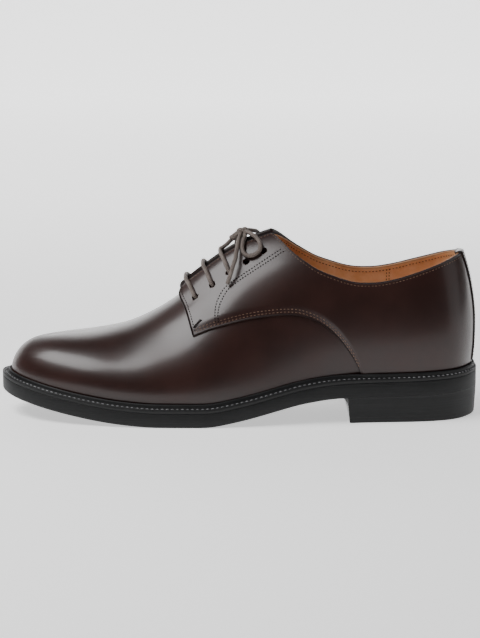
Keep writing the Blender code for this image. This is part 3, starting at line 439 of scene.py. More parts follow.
def make_piece(name, sheets, finishes):
    """One mesh object at the origin from sheets, sewn where their points meet."""
    points, quads, numbers, maps = [], [], [], {"where": [], "edges": []}
    start = 0
    for part in sheets:
        rows, columns = part["points"].shape[:2]
        local = grid_quads(rows, columns)
        local = local[:, ::-1] if part["flip"] else local
        points.append(part["points"].reshape(-1, 3))
        quads.append(local + start)
        numbers.append(np.full(len(local), part["finish"]))
        for key in maps:
            maps[key].append(part[key].reshape(-1, 2)[local.reshape(-1)])
        start += rows * columns
    mesh = bpy.data.meshes.new(name)
    mesh.from_pydata(np.concatenate(points).tolist(), [], np.concatenate(quads).tolist())
    mesh.polygons.foreach_set("material_index", np.concatenate(numbers).astype(np.int32))
    for key, values in maps.items():
        layer = mesh.uv_layers.new(name=key)
        layer.data.foreach_set("uv", np.concatenate(values).astype(np.float32).reshape(-1))
    for finish in finishes:
        mesh.materials.append(finish)
    return sewn(name, mesh, SEWN)


def ready(piece, node):
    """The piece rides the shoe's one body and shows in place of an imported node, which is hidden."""
    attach(piece, "root")
    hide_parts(node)


def lengths_along(points, axis):
    """Distance walked along one direction of a grid, in millimetres."""
    return walked(points, axis) * 1000


def border(grid):
    """The points round a grid's four sides, once each and then the first again."""
    return np.concatenate([grid[:-1, 0], grid[-1, :-1], grid[:0:-1, -1], grid[0, :0:-1], grid[:1, 0]])


def half_round(over, under, way, steps=5, bulge=1.0):
    """Half circle from one line of points to another, bulging the given way."""
    half = np.linalg.norm(over - under, axis=-1)[:, None, None] / 2
    angle = np.linspace(0, np.pi, steps + 1)[None, :, None]
    return ((over + under)[:, None] / 2 + (over - under)[:, None] / 2 * np.cos(angle)
            + unit(way, 1e-9)[:, None] * half * bulge * np.sin(angle))


def rounded_rim(outer, inner, bulge):
    """Half circle from the border of one grid to the border of the one behind it."""
    rows, columns = (np.clip(np.arange(count), 1, count - 2) for count in outer.shape[:2])
    over, under = border(outer), border(inner)
    way = over - border(outer[rows][:, columns])
    through = unit(over - under, 1e-9)
    way -= through * (way * through).sum(-1, keepdims=True)
    return half_round(over, under, way, RIM_STEPS, bulge)


def panel(outer, inner, flip, edges, back=0, bulge=1.0, lined=None):
    """Sheets of a thin closed piece: its face, its back and the rounded rim between them. lined is the first
    and last of the rim's rows whose innermost step shows the lining."""
    rim = rounded_rim(outer, inner, bulge)
    near = np.broadcast_to(border(edges)[:, None], rim.shape[:2] + (2,))
    whole, outside, inside = slice(0, None), slice(0, RIM_STEPS), slice(RIM_STEPS - 1, None)
    strips = [(slice(0, None), whole, 0)]
    if lined is not None:
        first, last = lined
        strips = [(slice(0, first + 1), whole, 0), (slice(first, last + 1), outside, 0),
                  (slice(first, last + 1), inside, 1), (slice(last, None), whole, 0)]
    return [sheet(outer, 0, flip, None, edges), sheet(inner, back, not flip, None, edges)] + [
        sheet(rim[rows, steps], finish, flip, None, near[rows, steps]) for rows, steps, finish in strips]


print("mesh helpers are ready")

# %% [markdown]
# ## Finishes
# Shader maths reads best as a formula, so a small class wraps a socket and overloads the operators: writing
# `1 - mask` adds a Math node. Everything else comes from one method, `node`, that takes a node's type, its
# settings and the values or links of its sockets.


# %% Sockets that can be added and multiplied
class Wire:
    """A value in a material, with arithmetic."""

    def __init__(self, finish, socket):
        self.finish, self.socket = finish, socket

    def maths(self, operation, *values):
        return self.finish.node("ShaderNodeMath", {"operation": operation}, dict(enumerate(values)))

    def __add__(self, other):
        return self.maths("ADD", self, other)

    __radd__ = __add__

    def __sub__(self, other):
        return self.maths("SUBTRACT", self, other)

    def __rsub__(self, other):
        return self.maths("SUBTRACT", other, self)

    def __mul__(self, other):
        return self.maths("MULTIPLY", self, other)

    __rmul__ = __mul__


class Finish:
    """A material of one Principled shader. Numbers set its plain sockets, wires feed the rest."""

    def __init__(self, name, **plain):
        self.material = bpy.data.materials.new(name)
        self.material.use_nodes = True
        self.tree = self.material.node_tree
        self.shader = self.tree.nodes["Principled BSDF"]
        for key, value in plain.items():
            self.shader.inputs[key.replace("_", " ")].default_value = value

    def node(self, kind, settings=None, values=None, output=0):
        made = self.tree.nodes.new(kind)
        for key, value in (settings or {}).items():
            setattr(made, key, value)
        for key, value in (values or {}).items():
            if isinstance(value, Wire):
                self.tree.links.new(value.socket, made.inputs[key])
            else:
                made.inputs[key].default_value = value
        return Wire(self, made.outputs[output])

    def feed(self, values):
        for key, value in values.items():
            self.tree.links.new(value.socket, self.shader.inputs[key])
        return self.material

    def place(self):
        return self.node("ShaderNodeTexCoord", output="Object")

    def map_values(self, name):
        """The two numbers of a UV map, in millimetres."""
        pair = self.node("ShaderNodeUVMap", {"uv_map": name})
        return [self.node("ShaderNodeSeparateXYZ", values={0: pair}, output=number) for number in (0, 1)]

    def noise(self, scale, detail=3.0, roughness=0.5, vector=None):
        return self.node("ShaderNodeTexNoise", values={
            "Vector": vector or self.place(), "Scale": scale, "Detail": detail, "Roughness": roughness})

    def between(self, value, low, high):
        """0 below low, 1 above high, smooth on the way."""
        return self.node("ShaderNodeMapRange", {"interpolation_type": "SMOOTHSTEP"},
                         {"Value": value, "From Min": low, "From Max": high})

    def mix(self, factor, *colours):
        """The first of two colours where the factor is 0, the second where it is 1."""
        first, second = (made if isinstance(made, Wire) else (*made, 1.0) for made in colours)
        return self.node("ShaderNodeMix", {"data_type": "RGBA"}, {0: factor, 6: first, 7: second}, output=2)

    def shade(self, value, low, high, *colours):
        """The first colour below low, the second above high."""
        return self.mix(self.between(value, low, high), *colours)

    def bump(self, height, distance, strength=1.0, normal=None):
        values = {"Height": height, "Distance": distance, "Strength": strength}
        if normal is not None:
            values["Normal"] = normal
        return self.node("ShaderNodeBump", values=values)


print("finish maker is ready")

# %% [markdown]
# ### Polished calf
# Smooth calf leather is dyed nearly black-brown and waxed. The wax is a second, glossier skin, which is what
# Coat Weight is for. The dye is a little uneven in soft clouds, the pores are hair-thin, and the cut edges
# are burnished darker. The coat thins a little where the clouds are light, so reflections are never even.


# %% Leather, lining and thread
CALF_DYES, BURNISHED_DYE = [(0.019, 0.0060, 0.0045), (0.027, 0.0086, 0.0064)], (0.010, 0.0040, 0.0034)
LINING_TANS, LINING_EDGE = [(0.76, 0.370, 0.165), (0.95, 0.580, 0.320)], (0.16, 0.058, 0.028)
BROWN_THREADS = (0.085, 0.050, 0.036), (0.24, 0.150, 0.105)
DARK_THREADS = (0.005, 0.003, 0.0026), (0.020, 0.010, 0.008)
GREY_THREADS = (0.12, 0.12, 0.125), (0.36, 0.36, 0.37)


def calf_finish():
    """Clouded dye, fine pores and a coat of wax, both worn at the cut edges."""
    finish = Finish("polished_calf", Coat_Roughness=0.22, Coat_IOR=1.5, IOR=1.48, Specular_IOR_Level=0.30)
    from_edge, from_top = finish.map_values("edges")
    clouds = finish.noise(38.0, 4.0, 0.55)
    pores = finish.node("ShaderNodeTexVoronoi", {"feature": "DISTANCE_TO_EDGE"},
                        {"Vector": finish.place(), "Scale": 1900.0})
    fine = finish.noise(2600.0, 2.0, 0.6)
    dye = finish.shade(clouds, 0.32, 0.70, *CALF_DYES)
    nearest = from_edge.maths("MINIMUM", from_edge, from_top)
    burnished = 1 - finish.between(nearest, 0.15, 1.2)
    dye = finish.mix(burnished * 0.75, dye, BURNISHED_DYE)
    grain = finish.between(pores, 0.0, 0.10) * 0.55 + fine * 0.45
    soft = finish.noise(120.0, 3.0, 0.5)
    rough = 0.34 + clouds * 0.10 + burnished * 0.20
    waxed = 0.62 - clouds * 0.20 - burnished * 0.35
    normal = finish.bump(grain, 0.00003, 0.35)
    normal = finish.bump(soft, 0.00035, 0.25, normal)
    return finish.feed({"Base Color": dye, "Roughness": rough, "Coat Weight": waxed, "Normal": normal})


def lining_finish():
    """Matt tan leather, darker along its top edge and a little crumpled."""
    finish = Finish("tan_lining", IOR=1.42)
    _, from_top = finish.map_values("edges")
    clouds = finish.noise(55.0, 5.0, 0.6)
    pores = finish.noise(1500.0, 3.0, 0.6)
    tan = finish.shade(clouds, 0.30, 0.72, *LINING_TANS)
    tan = finish.mix((1 - finish.between(from_top, 0.0, 0.9)) * 0.6, tan, LINING_EDGE)
    normal = finish.bump(pores, 0.00008, 0.5)
    normal = finish.bump(clouds, 0.0012, 0.35, normal)
    return finish.feed({"Base Color": tan, "Roughness": 0.50 + clouds * 0.20, "Normal": normal})


def thread_finish(name, dark, light, scale=1800.0):
    """Thread of light and dark fibres."""
    finish = Finish(name, Roughness=0.62, IOR=1.45, Specular_IOR_Level=0.15)
    fibres = finish.noise(scale, 2.0, 0.6)
    return finish.feed({"Base Color": finish.shade(fibres, 0.35, 0.65, dark, light),
                        "Normal": finish.bump(fibres, 0.0001, 0.6)})


calf = calf_finish()
lining = lining_finish()
brown_thread = thread_finish("brown_thread", *BROWN_THREADS)
dark_thread = thread_finish("dark_thread", *DARK_THREADS)
grey_thread = thread_finish("welt_thread", *GREY_THREADS, 1200.0)
print("finishes:", [made.name for made in (calf, lining, brown_thread, dark_thread, grey_thread)])

# %% [markdown]
# ### Black rubber
# The sole and heel are moulded rubber whose side was trimmed on a wheel. That leaves fine level scratches, so
# a noise stretched flat along X and Y makes thin level lines in the bump and in the shade. A softer noise
# stands for dust, which roughens the rubber and lightens it to charcoal here and there.
#
# The lace is a braid: two sets of strands wind opposite ways, and each set is a sine of the distance along
# the lace and of the turn round it. Their product makes the small diamonds of the crossings, and it also
# makes the hollows between the strands darker, as painted shade.


# %% Rubber and lace
SOLE_BLACKS = (0.0040, 0.0043, 0.0045), (0.0105, 0.0108, 0.0112)
WELT_BLACKS = (0.0040, 0.0042, 0.0044), (0.0095, 0.0097, 0.0100)
# the lace pair: first a dark colour that is painted shade for the braid's hollows, then the lace's own taupe
LACE_HOLLOW_SHADE_AND_TAUPE, LACE_WORN = [(0.060, 0.046, 0.040), (0.185, 0.148, 0.128)], (0.240, 0.200, 0.180)
BRAID_ALONG, BRAID_AROUND = 3.6, 25.133  # radians to a millimetre along, and to one turn round the lace


def rubber_finish(name, base, dusty, lined):
    finish = Finish(name, IOR=1.50, Specular_IOR_Level=0.32)
    flat = finish.node("ShaderNodeMapping", values={"Vector": finish.place(), "Scale": (14.0, 14.0, 1500.0)})
    lines = finish.noise(1.0, 4.0, 0.62, flat)
    dust = finish.noise(90.0, 5.0, 0.6)
    fine = finish.noise(2200.0, 2.0, 0.5)
    level = 0.55 * lines + 0.45 * dust
    shade = finish.shade(level, 0.35, 0.68, base, dusty)
    normal = finish.bump(lines, 0.0002, lined)
    normal = finish.bump(fine, 0.00003, 0.4, normal)
    return finish.feed({"Base Color": shade, "Roughness": 0.42 + dust * 0.22, "Normal": normal})


def lace_finish():
    """Waxed braid with fine fibres, lighter where it is worn, and darker in its hollows as painted shade."""
    finish = Finish("waxed_lace", IOR=1.46)
    along, around = finish.map_values("where")
    along, around = along * BRAID_ALONG, around * BRAID_AROUND
    braid = along.maths("SINE", along + around) * along.maths("SINE", along - around) * 0.5 + 0.5
    fibres = finish.noise(2400.0, 3.0, 0.6)
    worn = finish.noise(160.0, 3.0, 0.5)
    # painted shade: the braid's hollows get the dark colour, its crests the lace's taupe
    shade = finish.shade(braid, 0.15, 0.75, *LACE_HOLLOW_SHADE_AND_TAUPE)
    shade = finish.mix(finish.between(worn, 0.40, 0.75) * 0.5, shade, LACE_WORN)
    normal = finish.bump(braid, 0.00022, 0.9)
    normal = finish.bump(fibres, 0.00006, 0.5, normal)
    return finish.feed({"Base Color": shade, "Roughness": 0.50 + fibres * 0.25, "Normal": normal})


rubber = rubber_finish("black_rubber", *SOLE_BLACKS, 0.55)
welt_rubber = rubber_finish("welt_rubber", *WELT_BLACKS, 0.25)
lace_cord = lace_finish()
print("finishes:", [made.name for made in (rubber, welt_rubber, lace_cord)])

# %% [markdown]
# ## Upper
# The vamp and the full lining are one hollow skin. Its face lies on the last's surface and its back a wall
# further in. Both halves are worked out from toe to heel, then given the same points along the toe, the
# heel and the ridge, so that they sew up into one form that is open at the throat, the collar and below.


# %% Vamp and lining
STATIONS, COLUMNS = 260, 54
THROAT_PARTS = np.array([0.0, 0.02, 0.08, 0.18, 0.35, 0.6, 0.9])


def with_places(turns, shares):
    """Even turns, with some shares of the length set among them in place of their neighbours."""
    places = turn_at(np.asarray(shares))
    kept = turns[np.abs(turns[:, None] - places).min(axis=1) > 0.45 * (turns[1] - turns[0])]
    return np.sort(np.concatenate([kept, places]))


def weld(grids, closed):
    """Gives both halves the same points on the toe and heel lines, and on the ridge where it is closed."""
    for rows, columns in ((0, slice(None)), (-1, slice(None)), (closed, -1)):
        middle = (grids[LATERAL][rows, columns] + grids[MEDIAL][rows, columns]) / 2
        grids[LATERAL][rows, columns] = grids[MEDIAL][rows, columns] = middle


throat_turns = (THROAT_PLACE + THROAT_PARTS * THROAT_ROUNDING) / LAST_LENGTH
turns = with_places(np.linspace(0.0, 1.0, STATIONS + 1), throat_turns)
closed = along_share(turns) * LAST_LENGTH <= THROAT_PLACE + 1e-6
faces, backs, above_edge = {}, {}, {}
for side in SIDES:
    rise = opening_rise(turns, side)[:, None] * np.linspace(0.0, 1.0, COLUMNS + 1)
    turn = np.broadcast_to(turns[:, None], rise.shape)
    share = along_share(turn)
    place = last_point(turn, rise, side)
    lift = FACING_LIFT * facing_share(place, share) * behind_throat(share)
    above = place[..., 2] - feather(turn, side)[..., 2] - seam_height(share)
    covered = np.where(share > SEAM_END, 1.0, behind_throat(share) * smooth_step(above / SEAM_ALLOWANCE))
    wall = VAMP_WALL + (LINING_WALL - VAMP_WALL) * covered
    normal = last_normal(turn, rise, side)
    faces[side] = place + normal * lift[..., None]
    backs[side] = place + normal * (lift - wall)[..., None]
weld(faces, closed)
weld(backs, closed)

upper_sheets = []
opening = ~closed
opening[np.flatnonzero(closed)[-1]] = True
for side in SIDES:
    from_low = lengths_along(backs[side], 1)
    from_top = np.where(closed[:, None], FAR, from_low[:, -1:] - from_low)
    above_edge[side] = from_top
    map_pair = np.stack([np.full(from_top.shape, FAR), from_top], axis=-1)
    flip = side == MEDIAL
    upper_sheets.append(sheet(faces[side], 0, flip, None, map_pair))
    upper_sheets.append(sheet(backs[side], 1, not flip, None, map_pair))
    over, under = faces[side][opening, -1], backs[side][opening, -1]
    upper_sheets.append(sheet(half_round(over, under, over - faces[side][opening, -2]), 1, flip))
    upper_sheets.append(sheet(np.stack([backs[side][:, 0], faces[side][:, 0]], axis=1), 1, flip))
upper = make_piece("upper_leather", upper_sheets, [calf, lining])
ready(upper, "upper")
print("upper:", len(upper.data.polygons), "faces")

# %% [markdown]
# ## Quarters
# A quarter is a panel cut out of the same skin, a leather's thickness further out. Its lower edge crosses the
# vamp in a long arch, its front edge is straight with a rounded top corner, and it thickens where the facing
# is doubled for the eyelets. The lower edge is skived, which is a shoemaker's word for pared thin.


# %% The two quarters
QUARTER_STATIONS, QUARTER_COLUMNS = 250, 64
CORNER_ROUNDING, CORNER_START, SKIVE, SKIVE_WIDTH = 0.0060, 0.72, 0.0007, 0.007
COLLAR_STARTS, CORNER_BLEND, QUARTER_BULGE = 0.60, 0.05, 0.45
BACK_GAP = 0.00005  # what each quarter stays short of the middle line at the back seam


def quarter_grids(side):
    steep = [row[0] for row in SEAM[1][-4:]]
    even = with_places(np.linspace(turn_at(SEAM_START), 1.0, QUARTER_STATIONS + 1), steep)
    low_share = along_share(even)
    lead = SEAM_START - (THROAT_PLACE - FACING_LEAD) / LAST_LENGTH
    high_share = low_share - lead * (1 - smooth_step((low_share - SEAM_START) / SEAM_FRONT_BLEND))
    high = turn_at(high_share)
    low_rise = rise_at_height(even, side, feather(even, side)[:, 2] + seam_height(low_share))
    high_rise = edge_rise(high, side, np.full(high.shape, FACING_GAP / 2 + ROUND_EDGE))
    steps = np.linspace(0.0, 1.0, QUARTER_COLUMNS + 1)
    turn = even[:, None] + (high - even)[:, None] * steps
    rise = low_rise[:, None] + (high_rise - low_rise)[:, None] * steps
    corner = np.clip((steps - CORNER_START) / (1 - CORNER_START), 0, 1)
    corner = CORNER_ROUNDING / LAST_LENGTH * (1 - np.sqrt(1 - 0.999 * corner ** 2))
    near_front = 1 - smooth_step((low_share - SEAM_START) / CORNER_BLEND)
    turn = turn_at(along_share(turn) + corner[None, :] * near_front[:, None])
    out = quarter_out(turn, rise, side)
    normal = last_normal(turn, rise, side)
    place = last_point(turn, rise, side)
    from_low = lengths_along(place, 1)
    pared = SKIVE * (1 - smooth_step(from_low / 1000 / SKIVE_WIDTH)) * (low_share < SEAM_END)[:, None]
    near = facing_share(place, along_share(turn))
    wall = QUARTER_WALL + (FACING_WALL - QUARTER_WALL) * near + CURVED_CLEARANCE * 0.75 - pared
    face = place + normal * (out - pared)[..., None]
    back = place + normal * (out - pared - wall)[..., None]
    for grid in (face, back):
        grid[..., 2] = np.maximum(grid[..., 2], feather(turn, side)[..., 2])
        grid[-1, :, 1] = y_centre + side * BACK_GAP
    return face, back


def grid_normals(grid, side):
    """Direction out of a grid: across its two slopes."""
    normal = np.cross(np.gradient(grid, axis=0), np.gradient(grid, axis=1)) * -side
    return unit(normal, 1e-12)


quarters, quarter_faces, quarter_maps = {}, {}, {}
for side in SIDES:
    face, back = quarter_grids(side)
    from_low = lengths_along(face, 1)
    from_top = from_low[:, -1:] - from_low
    from_front = lengths_along(face, 0)
    quarter_faces[side] = face
    quarter_maps[side] = {"low": from_low, "top": from_top, "front": from_front}
    maps = np.stack([np.minimum(from_low, from_front), from_top], axis=-1)
    top_starts = face.shape[0] + face.shape[1] - 2
    collar_rows = int((face[:, -1, 0] > LAST_TOE + COLLAR_STARTS * LAST_LENGTH).sum())
    quarters[side] = make_piece("quarter_leather_" + side_name(side),
                                panel(face, back, side == MEDIAL, maps, bulge=QUARTER_BULGE,
                                      lined=(top_starts, top_starts + collar_rows)), [calf, lining])
    ready(quarters[side], "quarter_" + side_name(side))
print("quarters:", [len(piece.data.polygons) for piece in quarters.values()], "faces")

# %% [markdown]
# ### Eyelets
# A derby of this kind has plain punched eyelets with no metal ring. Each is a round hole cut square to the
# leather through the facing and the lining. A boolean does the punching, and its result is kept as the mesh.


# %% Punching the eyelets
def eyelet_place(number, side):
    turn = turn_at(np.array([(FIRST_EYELET + number * EYELET_STEP) / LAST_LENGTH]))
    return turn, rise_at_reach(turn, side, FACING_GAP / 2 + EYELET_INSETS[number])


def punches(side, corners=28):
    """Round bars through a side's eyelets, as sheets with closed ends."""
    bars = []
    for number in range(EYELETS):
        turn, rise = eyelet_place(number, side)
        middle, normal = last_point(turn, rise, side)[0], last_normal(turn, rise, side)[0]
        across = unit(np.cross(normal, (1.0, 0.0, 0.0)))
        second = np.cross(normal, across)
        angle = np.linspace(0, 2 * np.pi, corners + 1)[:, None]
        circle = EYELET_DIAMETER / 2 * (across * np.cos(angle) + second * np.sin(angle))
        ends = [middle + normal * (FACING_LIFT + far) for far in (-2 * FACING_WALL, 2 * FACING_WALL)]
        rings = np.stack([np.broadcast_to(ends[0], circle.shape), ends[0] + circle, ends[1] + circle,
                          np.broadcast_to(ends[1], circle.shape)], axis=1)
        bars.append(sheet(rings, 0, False))
    return bars


def punch(piece, bars):
    cutter = make_piece("punch", bars, [])
    cutter.data.shade_flat()
    change = piece.modifiers.new("eyelets", "BOOLEAN")
    change.operation, change.object, change.solver = "DIFFERENCE", cutter, "EXACT"
    graph = bpy.context.evaluated_depsgraph_get()
    cut_mesh = bpy.data.meshes.new_from_object(piece.evaluated_get(graph))
    piece.modifiers.clear()
    old, piece.data = piece.data, cut_mesh
    bpy.data.meshes.remove(old)
    bpy.data.objects.remove(cutter)


for side in SIDES:
    punch(quarters[side], punches(side))
punch(upper, punches(LATERAL) + punches(MEDIAL))
print("punched:", [len(piece.data.polygons) for piece in (*quarters.values(), upper)], "faces")

# %% [markdown]
# ## Tongue and backstay
# The tongue is a tapered strip tucked under the throat. It lies under the facings, and between them its upper
# end sags a little. The backstay is a narrow strip over the back seam that folds over the collar and ends
# just inside.


# %% Tongue
TONGUE_TUCK, TONGUE_REACH, TONGUE_HALF_WIDTH, TONGUE_SPREAD = 0.010, 0.057, 0.018, 0.005
TONGUE_ROUNDING, TONGUE_SAG, SAG_START, SAG_BLEND, SAG_HALF_WIDTH = 0.016, 0.0030, 0.030, 0.05, 0.014


def tongue_grids(rows=80, columns=48):
    station = np.linspace(0, 1, rows + 1)[:, None]
    part = np.linspace(-1, 1, columns + 1)[None, :]
    first = (THROAT_PLACE - TONGUE_TUCK) / LAST_LENGTH
    last = (THROAT_PLACE + TONGUE_REACH) / LAST_LENGTH - TONGUE_ROUNDING * part ** 2
    share = first + (last - first) * station
    reach = np.abs(part) * (TONGUE_HALF_WIDTH + TONGUE_SPREAD * station)
    turn = turn_at(share)
    face, back = np.zeros(turn.shape + (3,)), np.zeros(turn.shape + (3,))
    for side, half in ((LATERAL, part[0] <= 0), (MEDIAL, part[0] > 0)):
        flat_turn, flat_reach = turn[:, half].reshape(-1), reach[:, half].reshape(-1)
        rise = rise_at_reach(flat_turn, side, flat_reach)
        place, flat_share = last_point(flat_turn, rise, side), share[:, half].reshape(-1)
        low = -VAMP_WALL - CURVED_CLEARANCE
        high = -LINING_WALL - CURVED_CLEARANCE + FACING_LIFT * facing_share(place, flat_share)
        top = smooth_step((flat_share - (THROAT_PLACE + SAG_START) / LAST_LENGTH) / SAG_BLEND)
        sag = TONGUE_SAG * top * np.maximum(0, 1 - (flat_reach / SAG_HALF_WIDTH) ** 2)
        out = low + (high - low) * behind_throat(flat_share) - sag
        normal = last_normal(flat_turn, rise, side)
        shape = face[:, half].shape
        face[:, half] = (place + normal * out[:, None]).reshape(shape)
        back[:, half] = (place + normal * (out - TONGUE_WALL)[:, None]).reshape(shape)
    return face, back


tongue_face, tongue_back = tongue_grids()
tongue_walk = lengths_along(tongue_face, 0)
tongue_maps = np.stack([np.full(tongue_walk.shape, FAR), tongue_walk[-1:] - tongue_walk], axis=-1)
tongue = make_piece("tongue_leather", panel(tongue_face, tongue_back, False, tongue_maps, back=1),
                    [calf, lining])
ready(tongue, "tongue")
print("tongue:", len(tongue.data.polygons), "faces")

# %% Backstay
STAY_OUT, STAY_INSIDE, STAY_TURNED = QUARTER_COVER + 0.00010, -LINING_WALL - 0.00010, 0.0075
STAY_FLATTENED = 0.62
STAY_SKIN = BACKSTAY_WALL * 0.75, 0.00002


def backstay_lines(part, rows=60):
    """Turns and rises of one line up the backstay, at a share of its width."""
    side = LATERAL if part <= 0 else MEDIAL
    step = np.linspace(0, 1, rows + 1)
    width = abs(part) * BACKSTAY_WIDTH / 2 * (1 - BACKSTAY_TAPER * step)
    turn = np.ones(rows + 1)
    for _ in range(3):
        top = rise_at_height(turn, side, collar_height(turn, side))
        low = rise_at_height(turn, side, feather(turn, side)[:, 2] + BEAD_HEIGHT + 2 * CURVED_CLEARANCE)
        rise = low + (top - low) * step
        tries = np.linspace(0.85, 1.0, 121)
        spread = np.abs(last_point(tries[None, :], rise[:, None], side)[..., 1] - y_centre)
        turn = rise_where(-spread, tries, -width)
    return turn, rise, side


def backstay_surface(thick):
    """Up the outside, over the collar's edge in a flattened half circle, and a little way down the inside."""
    columns = []
    for part in np.linspace(-1, 1, 25):
        turn, rise, side = backstay_lines(part)
        place, normal = last_point(turn, rise, side), last_normal(turn, rise, side)
        outside = place + normal * (STAY_OUT + thick)
        inside = place + normal * (STAY_INSIDE - thick)
        down = np.linalg.norm(place - place[-1], axis=-1)
        up = place[-1] - place[-3]
        fold = half_round(outside[-1:], inside[-1:], up[None], 8)[0]
        across = outside[-1] - inside[-1]
        chord = inside[-1] + ((fold - inside[-1]) @ across / (across @ across))[:, None] * across
        fold = chord + STAY_FLATTENED * (fold - chord)
        turned = np.linspace(0, STAY_TURNED, 9)[1:]
        inner = points_at(turned, down[::-1], inside[::-1])
        columns.append(np.concatenate([outside, fold[1:], inner]))
    return np.stack(columns)


stay_face, stay_back = (backstay_surface(thick) for thick in STAY_SKIN)
stay_across = lengths_along(stay_face, 0)
stay_maps = np.stack([np.minimum(stay_across, stay_across[-1:] - stay_across),
                      np.full(stay_across.shape, FAR)], axis=-1)
backstay = make_piece("backstay_leather", panel(stay_face, stay_back, False, stay_maps), [calf])
ready(backstay, "backstay")
print("backstay:", len(backstay.data.polygons), "faces")

# %% [markdown]
# ## Sole
# Welt, outsole and heel share one outline, which stands a few millimetres out of the last. Each is a short
# profile carried round that outline as two walls, one for each side of the shoe, closed by flat caps that run
# from one wall to the other. Small fillets on the corners catch the light as moulded rubber does.


# %% Walls carried round the outline
SOLE_STATIONS = 260


def carried(turn, side, out):
    """Points at distances out of the last's bottom edge. Both sides meet on the middle line at the ends."""
    points = feather(turn, side)[:, None] + plan_normal(turn, side)[:, None] * out[..., None]
    points[(turn <= 0) | (turn >= 1), :, 1] = y_centre
    return points


def sole_edge(turn, side, inset):
    """The outline at each turn, moved in by each inset."""
    return carried(turn, side, edge_reach(turn, side)[:, None] - np.atleast_2d(inset))


def cap(first, second, heights, columns=24):
    """Lines from one wall's edge to the other's, at heights worked out from their places along the shoe."""
    part = np.linspace(0, 1, columns + 1)[None, :, None]
    grid = first[:, None] + (second - first)[:, None] * part
    grid[:, 1:-1, 2] = heights(grid[:, 1:-1])
    return grid


def slab(name, walls, low, high, finish):
    """Solid between two walls, each a grid of stations by profile points, lowest first."""
    sheets = [sheet(walls[LATERAL], 0, False), sheet(walls[MEDIAL], 0, True),
              sheet(cap(walls[LATERAL][:, 0], walls[MEDIAL][:, 0], low), 0, False),
              sheet(cap(walls[LATERAL][:, -1], walls[MEDIAL][:, -1], high), 0, True)]
    return make_piece(name, sheets, [finish])


sole_turns = np.linspace(0.0, 1.0, SOLE_STATIONS + 1)
heel_breast = SOLE_LENGTH / 2 - HEEL_LENGTH
print("outline of", 2 * SOLE_STATIONS, "points")

# %% Outsole
FILLET = np.array([[1.10, 0.00], [0.60, 0.10], [0.25, 0.35], [0.06, 0.75], [0.00, 1.30]]) / 1000
CORNER_INSETS, CORNER_UPS = np.array([[0.0, 0.00004, 0.00020]]), np.array([[0.00004, 0.00016, 0.00024]])
FILLET_FADE, FADE_LEAD, FADE_BLEND = 0.92, 0.010, 0.012


def outsole_walls(side):
    """Rounded below, but hardly so over the heel, with a fine corner above."""
    past_breast = feather(sole_turns, side)[:, :1] - heel_breast + FADE_LEAD
    rounding = 1 - FILLET_FADE * smooth_step(past_breast / FADE_BLEND)
    insets = np.concatenate([FILLET[:, 0] * rounding, CORNER_INSETS + 0 * rounding], axis=1)
    points = sole_edge(sole_turns, side, insets)
    tops = OUTSOLE_THICKNESS + CORNER_UPS + 0 * rounding
    points[..., 2] = underside(points[..., 0]) + np.concatenate([FILLET[:, 1] * rounding, tops], axis=1)
    return points


outsole = slab("outsole_rubber", {side: outsole_walls(side) for side in SIDES},
               lambda grid: underside(grid[..., 0]),
               lambda grid: underside(grid[..., 0]) + OUTSOLE_THICKNESS + CORNER_UPS[0, -1], rubber)
ready(outsole, "outsole")
print("outsole:", len(outsole.data.polygons), "faces")

# %% [markdown]
# The heel block tapers a little to the ground, and its front, the breast, sweeps forward under the waist on
# the outer side. Its front wall is one more grid, between the first points of the two side walls.

# %% Heel
HEEL_RINGS = np.array([(0.00, 1.00, 0.00), (0.45, 0.50, 0.00), (0.75, 0.20, 0.35), (1.00, 0.00, 1.00)])
TREAD_INSETS = np.array([0.9, 0.25, 0.05]) / 1000
FLARE_BLEND, HEEL_PLAY = 0.35, 0.00004
heel_turns = np.linspace(float(turn_at((heel_breast - LAST_TOE) / LAST_LENGTH)), 1.0, 121)
heel_levels = np.concatenate([[0.0, 0.02, 0.05], np.linspace(0.10, 1.0, 15)])


def heel_top(x):
    return underside(x) - HEEL_PLAY


def heel_walls():
    """Two side walls, and the breast between their first points with its corner swept forward."""
    rows = HEEL_RINGS
    taper = HEEL_TAPER * curve_through(rows[:, 0], rows[:, 1], heel_levels)
    taper[:3] += TREAD_INSETS
    flare = BREAST_FLARE * curve_through(rows[:, 0], rows[:, 2], heel_levels)
    walls = {side: sole_edge(heel_turns, side, taper) for side in SIDES}
    walls[LATERAL][0, :, 0] = heel_breast + taper
    walls[MEDIAL][0, :, 0] = heel_breast + taper - BREAST_SKEW - flare
    for points in walls.values():
        points[..., 2] = heel_levels * heel_top(points[..., 0])
    part = np.linspace(0, 1, 41)[:, None, None]
    near, far = walls[LATERAL][0], walls[MEDIAL][0] + np.stack([flare, 0 * flare, 0 * flare], axis=-1)
    front = near[None] + (far - near)[None] * part
    front[..., 0] -= flare[None, :] * smooth_step(part[..., 0] / FLARE_BLEND)
    front[..., 2] = heel_levels[None, :] * heel_top(front[..., 0])
    return walls, front


def heel_cap(walls, front, level, height):
    """Lines from one wall to the other, with the front's own line first."""
    grid = cap(walls[LATERAL][:, level], walls[MEDIAL][:, level], height, front.shape[0] - 1)
    grid[0] = front[:, level]
    return grid


heel_sides, heel_front = heel_walls()
heel = make_piece("heel_rubber", [
    sheet(heel_sides[LATERAL], 0, False), sheet(heel_sides[MEDIAL], 0, True), sheet(heel_front, 0, True),
    sheet(heel_cap(heel_sides, heel_front, 0, lambda grid: 0 * grid[..., 0]), 0, False),
    sheet(heel_cap(heel_sides, heel_front, -1, lambda grid: heel_top(grid[..., 0])), 0, True)], [rubber])
ready(heel, "heel")
print("heel:", len(heel.data.polygons), "faces")

